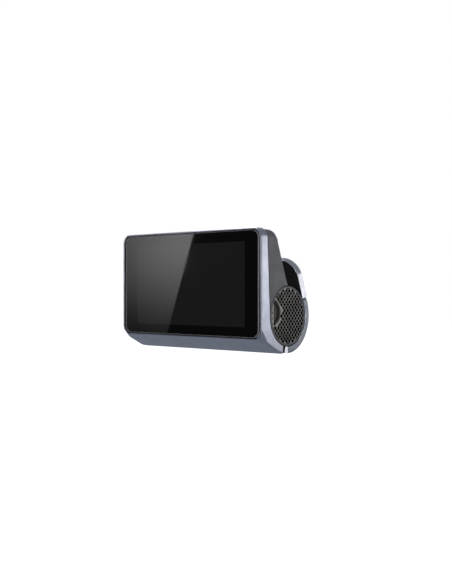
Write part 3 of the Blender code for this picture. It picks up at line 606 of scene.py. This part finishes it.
def cover_spine(wall=0.0):
    """Points (y, z) over the cover from the seam, round the back edge and down the slope, wall inside it."""
    slope = radians(BACK_SLOPE)
    edge = 2.5
    turn = radians(90.0) - slope
    start = (back_y(COVER_TOP) - edge * sin(turn / 2) / cos(turn / 2), COVER_TOP - edge)
    seam = SEAM_TOP[0] + GAP
    spine = [(seam + (start[0] - seam) * t, COVER_TOP - wall) for t in spread(0.0, 1.0, 10)]
    for t in spread(0.0, 1.0, 12):
        angle = radians(90.0) - turn * t
        spine.append((start[0] + (edge - wall) * cos(angle), start[1] + (edge - wall) * sin(angle)))
    top_z = start[1] + (edge - wall) * sin(slope)
    for t in spread(0.0, 1.0, 26) + [1.0]:
        z = top_z + (0.05 - top_z) * t
        spine.append((back_y(z) - wall / cos(slope), z))
    return spine


def cover_ring(spine, i, wall=0.0):
    """One ring across the cover: up one cheek, round its top corner, over, and down the other cheek."""
    y, z = spine[i]
    share = i / (len(spine) - 1)
    foot_y = FOOT_FROM + (FOOT_TO - FOOT_FROM) * share
    foot_z = AXIS[1] + sqrt(BAND[0] ** 2 - (foot_y - AXIS[0]) ** 2)
    side, radius = HALF - wall, CORNER - wall
    centre_z = COVER_TOP - CORNER
    rise = min(1.0, max(0.0, (z - centre_z) / radius))
    start = asin(rise)
    edge = 0.35 * (1.0 - rise**2)
    half = side - radius + radius * cos(start)
    drop = min(edge / sin(radians(BACK_SLOPE)), 0.5 * max(0.02, z - foot_z))
    path = []
    low = min(z - drop, centre_z) if rise < 1.0 else centre_z
    for t in spread(0.0, 1.0, 16):
        path.append((side, foot_z + (low - foot_z) * t))
    for t in spread(0.0, 1.0, 12) + [1.0]:
        if rise > 0.0:
            turn = start * t
            sag = drop * t * t * (1.0 - rise)
            path.append((side - radius + radius * cos(turn), centre_z + radius * sin(turn) - sag))
        else:
            turn = radians(90.0) * t
            path.append((side - edge + edge * cos(turn), z - drop + drop * sin(turn)))
    path += [(x, z) for x in (half - 1.5, 20.0, 0.0)]
    ring = []
    for across, height in path:
        down = min(1.0, max(0.0, (z - height) / max(0.02, z - foot_z)))
        ring.append((across, y + (foot_y - y) * down, height))
    return ring + [(-across, depth, height) for across, depth, height in reversed(ring[:-1])]


def back_cover():
    """The grey shell behind the frame, with openings for the USB inlet and the key in its left cheek."""
    outer, inner = [], []
    for sheet, wall in ((outer, 0.0), (inner, 1.4)):
        spine = cover_spine(wall)
        sheet += [cover_ring(spine, i, wall) for i in range(len(spine))]
    shell = wall_between("back_cover_shell", outer, inner)
    loops = []
    for place, size, radius in ((USB_PLACE, USB_SIZE, 1.8), (KEY_PLACE, KEY_SIZE, 1.5)):
        loops.append(centred_box(place, (size[0] + 2 * GAP, size[1] + 2 * GAP), radius))
    carve(shell, plate("cheek_cutter", loops, -46.0, -39.0, SIDE))
    ride(shell, "camera", GREY, ["back_cover"])


back_cover()


# ---- glass ----
PANE_INSET = 0.40
LINE_OUTER, LINE_INNER = 0.28, 0.38  # insets of the grey line painted as the highlight on the glass's edge
GLASS_BACK = 1.1


def panes():
    """The black glass, a fine grey line round its edge painted as the highlight on its bevel, and the dark
    gasket in the gap.
    """
    size = ((glass_high.x - glass_low.x) / MM, (glass_high.z - glass_low.z) / MM)

    def outline(inset):
        """The pane's outline: the sides are drawn in by twice inset, the top and bottom by inset."""
        return centred_box((0.0, 0.0), (size[0] - 4 * inset, size[1] - 2 * inset), 3.8 - inset, 16)

    pane = plate("cover_glass_pane", [outline(PANE_INSET)], 0.0, GLASS_BACK, FACE, 0.1, steps=4)
    ride(pane, "camera", GLASS, ["cover_glass"])
    # a thin grey ring painted as the highlight on the glass's edge
    edge = plate("glass_edge_bevel", [outline(LINE_OUTER), outline(LINE_INNER)], 0.04, 0.22, FACE, 0.04)
    ride(edge, "camera", GLASS_EDGE_HIGHLIGHT)
    gasket = plate("glass_gasket", [outline(-0.1), outline(LINE_INNER)], 0.3, GLASS_BACK, FACE, 0.03)
    ride(gasket, "camera", RUBBER)


panes()


# ---- grilles, card slot and scoop ----
HOLE_PITCH = (2.4, 2.5)
HOLE_SHARE = 0.89  # of the pitch; the rest is wire
HOLES_END = 13.0  # radius that no hole passes
MESH_RADIUS = 13.2
RIM_INNER = 12.35


def diamond(y, z, half_y, half_z):
    """A diamond's corners, listed clockwise."""
    return [(y - half_y, z), (y, z + half_z), (y + half_y, z), (y, z - half_z)]


def kept_within(point):
    """A hole's corner, drawn in so that it stays on the mesh disc, under the rim."""
    from_axis = hypot(point[0] - AXIS[0], point[1] - AXIS[1])
    share = HOLES_END / max(HOLES_END, from_axis)
    return (AXIS[0] + (point[0] - AXIS[0]) * share, AXIS[1] + (point[1] - AXIS[1]) * share)


def grille_holes(reach, keep_clear):
    """Diamond holes on a staggered grid, up to reach from the axis, clear of the card slot if asked."""
    holes = []
    size = (HOLE_PITCH[0] / 2 * HOLE_SHARE, HOLE_PITCH[1] / 2 * HOLE_SHARE)
    for column in range(-10, 11):
        for row in range(-6, 7):
            y = AXIS[0] + column * HOLE_PITCH[0] / 2
            z = AXIS[1] + (row + 0.5 * (column % 2)) * HOLE_PITCH[1]
            from_scoop = hypot(y - SCOOP[0], z - SCOOP[1])
            by_slot = y < SLOT_Y[1] + 1.1 and SLOT_Z[0] - 1.2 < z < SLOT_Z[1] + 1.2
            if hypot(y - AXIS[0], z - AXIS[1]) > reach:
                continue
            if keep_clear and (from_scoop < SCOOP_RADIUS + GAP + 0.95 or by_slot):
                continue
            holes.append([kept_within(point) for point in diamond(y, z, *size)])
    return holes


def scoop_outline(radius, edge):
    """The part of the scoop's circle that lies behind y = edge."""
    half = degrees(acos((edge - SCOOP[0]) / radius))
    return arc(SCOOP, radius, -half, half, 24)


def card_opening():
    """The slot and the scoop beside it, as one hole listed clockwise."""
    curved = scoop_outline(SCOOP_RADIUS + GAP, SLOT_Y[1])
    loop = [(SLOT_Y[0], SLOT_Z[0]), (SLOT_Y[1], SLOT_Z[0])] + curved
    loop += [(SLOT_Y[1], SLOT_Z[1]), (SLOT_Y[0], SLOT_Z[1])]
    return loop[::-1]


def grilles():
    """A wire mesh over dark cloth at each end of the barrel, held by a rim."""
    middle = (SLOT_Z[0] + SLOT_Z[1]) / 2 - 1.3
    small = [diamond(7.5, middle + step * HOLE_PITCH[1], 0.5, 0.5) for step in (-1.5, -0.5, 0.5, 1.5)]
    right = [circle(AXIS, MESH_RADIUS, 128), card_opening()] + grille_holes(12.6, True) + small
    left = [circle(AXIS, MESH_RADIUS, 128)] + grille_holes(7.0, False)
    outer, inner, seat, top = END_RADIUS, RIM_INNER, MESH_RADIUS + 0.04, HALF
    profile = [(outer, top - 1.2), (outer, top - 0.25), (outer - 0.08, top - 0.07), (outer - 0.25, top)]
    profile += [(inner + 0.2, top), (inner + 0.06, top - 0.05), (inner, top - 0.17)]
    profile += [(seat, top - 0.17), (seat, top - 1.2)]
    for side, name, loops in ((1, "right", right), (-1, "left", left)):
        low, high = sorted((side * (HALF - 0.42), side * (HALF - 0.20)))
        mesh = soften(plate("grille_mesh_" + name, loops, low, high, SIDE), 0.05, 2)
        ride(mesh, "camera", STRAND, ["grille_" + name])
        low, high = sorted((side * (HALF - 1.10), side * (HALF - 0.85)))
        cloth = plate("grille_cloth_" + name, loops[:2] if side > 0 else loops[:1], low, high, SIDE)
        ride(cloth, "camera", CLOTH)
        rim = lathe("grille_rim_" + name, [(r, side * x) for r, x in profile], BARREL, "X", 144)
        ride(rim, "camera", RIM)


grilles()


# ---- thumb scoop and card ----
def scoop():
    """The shallow dish beside the card slot."""
    edge = SLOT_Y[1] + 0.1
    outline = scoop_outline(SCOOP_RADIUS, edge)
    dish = plate("card_scoop_dish", [outline], 41.0, HALF - 0.2, SIDE, 0.12)
    pocket = scoop_outline(SCOOP_RADIUS - 0.6, edge - 1.0)
    carve(dish, plate("scoop_pocket", [pocket], 41.9, 50.0, SIDE))
    ride(soften(dish, 0.1), "camera", DISH, ["card_scoop"])


scoop()


# ---- the bracket's rear shell, plate and pad ----
def screw_frame(x, angle):
    """A frame whose Z runs out through the shell along a screw."""
    return turned_frame(*AXIS, angle - 90.0) @ Matrix.Translation(Vector((x, 0.0, 0.0)) * MM)


def rear_shell():
    """The band, with its lens window, four screw recesses and a chamfer at each lower end, painted near-white
    as a highlight.
    """
    outline = arc(AXIS, BAND[1], SHELL_FROM, SHELL_TO, 96)
    outline += arc(AXIS, BAND[0], SHELL_TO, SHELL_FROM, 96)
    shell = plate("rear_shell_band", [outline], -HALF, HALF, SIDE, 0.22, steps=3)
    sector = arc(AXIS, BAND[1] + 3.0, WINDOW_FROM, WINDOW_TO, 64)
    sector += arc(AXIS, BAND[0] - 2.0, WINDOW_TO, WINDOW_FROM, 64)
    carve(shell, plate("window_cutter", [sector], -WINDOW_HALF, WINDOW_HALF, SIDE))
    recess = [(0.001, 20.0), (1.6, 20.0), (1.6, 12.5), (0.001, 12.5)]
    for x in (-SCREW_X, SCREW_X):
        for _, angle in SCREWS:
            carve(shell, lathe("screw_cutter", recess, screw_frame(x, angle), "Z", 32))
    for side in (-1, 1):
        tip, near = side * (HALF + 1.0), side * (HALF - 1.6)
        wedge = [[(tip, 17.0, z), (tip, 20.1, z), (near, 17.0, z)] for z in (-34.0, -25.0)]
        carve(shell, skin("chamfer_cutter", wedge, caps=True))
    ride(shell, "bracket", SILVER, ["rear_shell"])
    shell.data.materials.append(BAND_END)
    shell.data.materials.append(CHAMFER_HIGHLIGHT)
    for face in shell.data.polygons:
        if abs(face.normal.x) > 0.92:
            face.material_index = 1
        # the lower chamfers take the painted highlight
        elif abs(face.normal.x) > 0.5 and face.normal.y < -0.5 and face.center.z < -24.0 * MM:
            face.material_index = 2


def screw_heads():
    """Four flat screws with a cross recess, sunk in the shell."""
    top = BAND[1] - 0.3
    profile = [(0.001, top), (0.95, top), (1.15, top - 0.05), (1.28, top - 0.2), (1.3, top - 0.4)]
    profile += [(1.3, 13.5), (0.001, 13.5)]
    bar = [(-0.75, -0.14), (0.75, -0.14), (0.75, 0.14), (-0.75, 0.14)]
    for side, x in (("left", -SCREW_X), ("right", SCREW_X)):
        for level, angle in SCREWS:
            matrix = screw_frame(x, angle)
            node = "shell_screw_" + level + "_" + side
            head = lathe(node + "_head", profile, matrix, "Z", 48)
            for cross in (bar, [(-v, u) for u, v in bar]):
                rings = [[(u, v, height) for u, v in cross] for height in (top - 0.55, top + 1.0)]
                carve(head, skin("recess", rings, caps=True, matrix=matrix))
            ride(head, "bracket", STEEL, [node])


rear_shell()
screw_heads()


def plate_ring(inset, y):
    """The plate's outline, drawn in by inset, at y in the plate's frame."""
    height, _, radius = PLATE_SIZE
    corner = radius - inset
    foot = max(0.15, 0.5 - inset)
    low, high = (-HALF + inset, inset), (HALF - inset, height - inset)
    return [(x, y, z) for x, z in rounded_box(low, high, [foot, foot, corner, corner], 24)]


def windscreen_plate():
    """The upright plate: a silver rim with a rounded edge, and a black inlay sunk in its inner face."""
    half = PLATE_SIZE[1] / 2
    far_edge, near_edge, lip, floor_y = 0.4, 0.22, 0.6, -half + 1.0
    turns = [radians(90.0 * i / 5) for i in range(6)]
    rings = [plate_ring(far_edge * (1 - sin(t)), half - far_edge * (1 - cos(t))) for t in turns]
    rings += [plate_ring(near_edge * (1 - cos(t)), -half + near_edge * (1 - sin(t))) for t in turns]
    rings += [plate_ring(lip - 0.12, -half), plate_ring(lip, -half + 0.12), plate_ring(lip, floor_y)]
    rim = weighted(skin("windscreen_plate_rim", rings, caps=True, matrix=PLATE))
    ride(rim, "bracket", PLATE_SILVER, ["windscreen_plate"])
    inset = lip + GAP
    rings = [plate_ring(inset + 0.25, -half + 0.05), plate_ring(inset + 0.07, -half + 0.1)]
    rings += [plate_ring(inset, -half + 0.25), plate_ring(inset, -half + 0.7)]
    panel = skin("plate_panel_inlay", rings, caps=True, matrix=PLATE)
    ride(panel, "bracket", BLACK, ["plate_panel"])


def adhesive_pad():
    """The foam pad on the plate's far face."""
    low = PLATE_SIZE[1] / 2 + GAP
    corners = ((-PAD_HALF[0], PAD_HEIGHT - PAD_HALF[1]), (PAD_HALF[0], PAD_HEIGHT + PAD_HALF[1]))
    outline = rounded_box(*corners, [2.5] * 4, 12)
    pad = plate("adhesive_pad_foam", [outline], low, low + 0.8, FACE, 0.12, matrix=PLATE)
    ride(pad, "bracket", FOAM, ["adhesive_pad"])


windscreen_plate()
adhesive_pad()


# ---- barrel, lens drum and lens ----
BARREL_INNER = BARREL_RADIUS - 1.4
PIVOT_BORE = 4.8
DRUM_HALF = 17.1


def barrel_tubes():
    """Tubes between the drum and the grilles, open at the front where the card and the board pass."""
    end = HALF - 1.5
    profile = [(BARREL_RADIUS, end - 0.2), (BARREL_RADIUS, 19.7), (BARREL_RADIUS - 0.2, 19.5)]
    profile += [(PIVOT_BORE, 19.5), (PIVOT_BORE, 20.9), (BARREL_INNER, 20.9)]
    profile += [(BARREL_INNER, end), (BARREL_RADIUS - 0.2, end)]
    opening = ((2.0, -19.5), (10.8, -19.5), (10.8, 2.0), (2.0, 2.0))
    for side, name in ((1, "right"), (-1, "left")):
        tube = lathe("barrel_tube_" + name + "_shell", [(r, side * x) for r, x in profile], BARREL, "X", 128)
        rings = [[(x, y, z) for y, z in opening] for x in sorted((side * 24.5, side * 45.0))]
        carve(tube, skin("barrel_cutter", rings, caps=True))
        ride(tube, "camera", BLACK, ["barrel_tube_" + name])


def lens_drum():
    """The drum between the tubes, with a round hole for the lens."""
    wall = DRUM_HALF - 1.8
    profile = [(BARREL_RADIUS, DRUM_HALF - 0.25), (BARREL_RADIUS, 0.25 - DRUM_HALF)]
    profile += [(BARREL_RADIUS - 0.25, -DRUM_HALF), (PIVOT_BORE, -DRUM_HALF), (PIVOT_BORE, -wall)]
    profile += [(BARREL_INNER, -wall), (BARREL_INNER, wall), (PIVOT_BORE, wall)]
    profile += [(PIVOT_BORE, DRUM_HALF), (BARREL_RADIUS - 0.25, DRUM_HALF)]
    drum = lathe("lens_drum_shell", profile, LENS, "X", 128)
    bore = LENS_RADIUS + GAP
    hole = lathe("lens_hole", [(0.001, 5.0), (bore, 5.0), (bore, 20.0), (0.001, 20.0)], LENS, "Z", 96)
    carve(drum, hole)
    ride(soften(drum, 0.15, 2, 50.0), "lens_unit", BLACK, ["lens_drum"])


def lens():
    """The lens's black barrel with stepped light traps, its silver ring and its domed glass."""
    tip, step, radius = LENS_TIP, 11.6, LENS_RADIUS
    profile = [(radius, 1.3), (radius, tip - 0.15), (radius - 0.15, tip), (6.35, tip), (6.2, tip - 0.15)]
    profile += [(6.2, step), (4.4, step), (4.4, 1.2), (radius - 0.1, 1.2)]
    body = lathe("lens_barrel_body", profile, LENS, "Z", 128)
    ride(body, "lens_unit", BLACK, ["lens_barrel"])
    lift = tip + GAP
    profile = [(radius, lift), (radius, lift + 0.85), (radius - 0.08, lift + 1.08)]
    profile += [(radius - 0.25, lift + 1.2), (6.75, lift + 1.2), (6.6, lift + 1.1)]
    profile += [(6.45, lift + 0.7), (6.25, lift + 0.1), (6.25, lift)]
    ring = lathe("lens_trim_ring_body", profile, LENS, "Z", 128)
    ride(ring, "lens_unit", SILVER, ["lens_trim_ring"])
    turns = [radians(90.0 * i / 12) for i in range(13)]
    profile = [(max(0.001, 5.9 * sin(t)), tip + 0.6 - 1.5 * (1 - cos(t))) for t in turns]
    profile += [(5.9, step + GAP), (0.001, step + GAP)]
    glass = lathe("front_lens_glass", profile, LENS, "Z", 96)
    ride(glass, "lens_unit", LENS_COAT, ["front_lens"])


barrel_tubes()
lens_drum()
lens()


# ---- key, USB inlet and memory card ----
TONGUE_SIZE = (5.1, 0.7, 6.0)
TONGUE_X = -38.95


def key():
    """The key's cap, with a fine groove down its middle."""
    low = -HALF - 0.35
    outline = centred_box(KEY_PLACE, KEY_SIZE, 1.15, 12)
    cap = plate("power_button_cap", [outline], low, low + 1.9, SIDE, 0.3, steps=4)
    sides = ((-0.14, -1.5), (0.14, -1.5), (0.14, 1.5), (-0.14, 1.5))
    groove = [(KEY_PLACE[0] + y, KEY_PLACE[1] + z) for y, z in sides]
    carve(cap, plate("key_groove", [groove], low - 1.0, low + 0.12, SIDE))
    ride(cap, "button", GREY, ["power_button"])


def usb_inlet():
    """The inlet's steel sleeve and back, and the tongue inside it."""
    outline = centred_box(USB_PLACE, USB_SIZE, 1.55, 14)
    mouth = centred_box(USB_PLACE, (USB_SIZE[0] - 0.6, USB_SIZE[1] - 0.6), 1.25, 14)
    low = -HALF + 0.3
    sleeve = plate("usb_c_inlet_sleeve", [outline, mouth], low, low + 6.4, SIDE, 0.1)
    back = plate("usb_c_inlet_back", [outline], low + 6.4, -34.5, SIDE, 0.1)
    ride(sleeve, "camera", STEEL, ["usb_c_inlet"])
    ride(back, "camera", STEEL)
    bm = bmesh.new()
    bmesh.ops.create_cube(bm, size=1.0)
    bmesh.ops.scale(bm, vec=TONGUE_SIZE, verts=bm.verts)
    bmesh.ops.translate(bm, vec=(TONGUE_X, *USB_PLACE), verts=bm.verts)
    bmesh.ops.bevel(bm, geom=bm.edges, offset=0.14, segments=3, affect="EDGES", profile=0.5)
    ride(finish_mesh("usb_tongue_body", bm), "camera", CHIP, ["usb_tongue"])


def memory_card():
    """The card: a flat outline of even thickness, with its step on one edge."""
    end = HALF - 0.9
    middle, thick = (SLOT_Z[0] + SLOT_Z[1]) / 2, 0.7
    y = sum(SLOT_Y) / 2
    low_z, high_z = middle - 5.25, middle + 5.25
    outline = [(end - 15.0, low_z + 0.4), (end - 14.6, low_z), (end - 0.4, low_z), (end, low_z + 0.4)]
    outline += [(end, high_z - 0.4), (end - 0.4, high_z), (end - 8.6, high_z), (end - 9.9, high_z - 1.3)]
    outline += [(end - 14.6, high_z - 1.3), (end - 15.0, high_z - 1.7)]
    card = plate("microsd_card_body", [outline], y - thick / 2, y + thick / 2, FACE, 0.08)
    ride(card, "card", CHIP, ["microsd_card"])


key()
usb_inlet()
memory_card()


# ---- finishes of the CAD nodes that stay ----
KEPT = {
    "display_panel": PANEL, "display_backlight": BLACK, "display_carrier": STEEL, "display_cable": FLEX,
    "main_board": BOARD, "board_screw_left": STEEL, "board_screw_right": STEEL, "processor": CHIP,
    "memory_chip": CHIP, "thermal_pad": RUBBER, "heat_spreader": STEEL, "gps_antenna": CERAMIC,
    "wifi_antenna": FLEX, "supercapacitor_left": BLACK, "supercapacitor_right": BLACK, "button_switch": STEEL,
    "card_socket": STEEL, "speaker_basket": STEEL, "speaker_cone": RUBBER, "speaker_magnet": STEEL,
    "microphone": STEEL, "bracket_arm_left": BLACK, "bracket_arm_right": BLACK, "pivot_tube_left": STEEL,
    "pivot_tube_right": STEEL, "friction_washer_left": RUBBER, "friction_washer_right": RUBBER,
    "clamp_nut_left": STEEL, "clamp_nut_right": STEEL, "rear_lens": LENS_COAT, "middle_lens": LENS_COAT,
    "infrared_filter": LENS_COAT, "image_sensor": CHIP, "sensor_board": BOARD, "sensor_cable": RUBBER,
}
for node, paint in KEPT.items():
    for place in frame["nodes"][node].material_slots:
        place.material = paint


# ---- camera, floor and light ----
def look(obj, spot, target):
    """Stands a camera or a light at spot, aimed at target."""
    obj.location = Vector(spot)
    obj.rotation_euler = (Vector(target) - Vector(spot)).to_track_quat("-Z", "Y").to_euler()


def view_camera():
    """The point of view: 40 degrees round to the object's right, and level with it."""
    data = bpy.data.cameras.new("view")
    data.lens = 48.53
    data.sensor_width = 36.0
    data.clip_start, data.clip_end = 0.01, 20.0
    camera = bpy.data.objects.new("view", data)
    bpy.context.scene.collection.objects.link(camera)
    spot = Vector((0.244679, -0.300834, -0.005828))
    turn, tip = radians(39.508), radians(-0.173)
    look(camera, spot, spot + Vector((-sin(turn) * cos(tip), cos(turn) * cos(tip), sin(tip))))
    bpy.context.scene.camera = camera


view_camera()


def plain_shader(name, colour, strength, roughness):
    """One colour with a white glow, for the floor and the wall."""
    made = bpy.data.materials.new(name)
    made.use_nodes = True
    shader = made.node_tree.nodes["Principled BSDF"]
    shader.inputs["Base Color"].default_value = (*colour, 1.0)
    shader.inputs["Roughness"].default_value = roughness
    shader.inputs["Emission Color"].default_value = (1.0, 1.0, 1.0, 1.0)
    shader.inputs["Emission Strength"].default_value = strength
    return made


def staged(name, corners, paint):
    """A flat face that isn't part of the object."""
    mesh = bpy.data.meshes.new(name)
    mesh.from_pydata([tuple(world(*corner)) for corner in corners], [], [tuple(range(len(corners)))])
    obj = bpy.data.objects.new(name, mesh)
    bpy.context.scene.collection.objects.link(obj)
    obj.data.materials.append(paint)
    return obj


def reflected_only(obj):
    """Keeps a card out of the picture and its light off everything but reflections."""
    obj.visible_camera = False
    obj.visible_diffuse = False
    obj.visible_shadow = False


def floor():
    """A pale floor well below the camera."""
    z = cad_box[0].z / MM - 260.0
    corners = [(x, y, z) for x, y in circle((0.0, 0.0), 6000.0, 96)]
    obj = staged("floor", corners, plain_shader("floor_white", (0.9, 0.9, 0.9), 1.0, 0.9))
    obj.visible_diffuse = False
    obj.visible_glossy = False


floor()


def dark_card():
    """A dark studio wall behind the viewer, which the glass mirrors."""
    outline = ((-2600.0, -1400.0), (60.0, -1400.0), (60.0, 1400.0), (-2600.0, 1400.0))
    corners = [(x, -640.0, z) for x, z in outline]
    reflected_only(staged("dark_wall", corners, plain_shader("dark_wall", (0.002, 0.002, 0.002), 0.0, 1.0)))


def light_card():
    """A tall soft light whose slanted edge shows in the glass, brightest at its right edge and its top."""
    made = bpy.data.materials.new("card_light")
    made.use_nodes = True
    nodes, links = made.node_tree.nodes, made.node_tree.links
    nodes.clear()
    glow = nodes.new("ShaderNodeEmission")
    out = nodes.new("ShaderNodeOutputMaterial")
    place = nodes.new("ShaderNodeTexCoord")
    parts = nodes.new("ShaderNodeSeparateXYZ")
    links.new(place.outputs["Object"], parts.inputs["Vector"])
    edge = ranged(made.node_tree, parts.outputs["X"], -0.76, -0.535, 0.26, 1.0)
    height = ranged(made.node_tree, parts.outputs["Z"], -0.085, 0.08, 0.07, 1.0)
    both = nodes.new("ShaderNodeMath")
    both.operation = "MULTIPLY"
    links.new(edge, both.inputs[0])
    links.new(height, both.inputs[1])
    scale = nodes.new("ShaderNodeMath")
    scale.operation = "MULTIPLY"
    scale.inputs[1].default_value = 2.75
    links.new(both.outputs[0], scale.inputs[0])
    links.new(scale.outputs[0], glow.inputs["Strength"])
    links.new(glow.outputs[0], out.inputs["Surface"])
    outline = ((-1300.0, -420.0), (-715.3, -420.0), (-469.0, 260.0), (-1300.0, 260.0))
    reflected_only(staged("light_card", [(x, -600.0, z) for x, z in outline], made))


dark_card()
light_card()


def area_light(name, spot, target, size, power, glossy=True, colour=(1.0, 1.0, 1.0)):
    """A soft light of a width and height. One that isn't glossy shows in no reflection."""
    data = bpy.data.lights.new(name, "AREA")
    data.shape = "RECTANGLE"
    data.size, data.size_y = size
    data.energy = power
    data.color = colour
    obj = bpy.data.objects.new(name, data)
    bpy.context.scene.collection.objects.link(obj)
    look(obj, spot, target)
    obj.visible_glossy = glossy


def world_light():
    """White where the camera looks at it, and a softer grey as light."""
    world = bpy.data.worlds.new("studio")
    world.use_nodes = True
    bpy.context.scene.world = world
    nodes, links = world.node_tree.nodes, world.node_tree.links
    nodes.clear()
    seen = nodes.new("ShaderNodeBackground")
    seen.inputs["Color"].default_value = (1.0, 1.0, 1.0, 1.0)
    lighting = nodes.new("ShaderNodeBackground")
    lighting.inputs["Color"].default_value = (0.84, 0.93, 1.06, 1.0)
    lighting.inputs["Strength"].default_value = 0.22
    path = nodes.new("ShaderNodeLightPath")
    mix = nodes.new("ShaderNodeMixShader")
    out = nodes.new("ShaderNodeOutputWorld")
    links.new(path.outputs["Is Camera Ray"], mix.inputs[0])
    links.new(lighting.outputs[0], mix.inputs[1])
    links.new(seen.outputs[0], mix.inputs[2])
    links.new(mix.outputs[0], out.inputs["Surface"])


world_light()
area_light("side", (0.74, 0.64, 0.05), (0.04, -0.02, -0.01), (0.75, 0.24), 0.80)
area_light("overhead", (-0.42, -0.10, 0.85), (0.0, -0.02, 0.01), (0.7, 0.35), 4.5)
area_light("glint", (0.80, -0.62, 0.0), (0.0, -0.02, 0.0), (0.35, 0.3), 1.5)
area_light("back", (-0.55, 0.85, 0.25), (0.0, 0.0, -0.01), (0.8, 0.5), 0.7)
area_light("low_left", (-0.78, 0.50, -0.55), (0.0, -0.02, -0.02), (0.4, 0.4), 0.02, colour=(0.75, 0.88, 1.0))
area_light("key", (0.85, -0.35, 0.0), (0.0, 0.0, -0.01), (0.5, 0.3), 4.6, glossy=False)
area_light("left", (-0.5, -0.45, 0.15), (0.0, -0.02, -0.02), (0.4, 0.6), 1.5, glossy=False)
bpy.context.scene.view_settings.view_transform = "Standard"
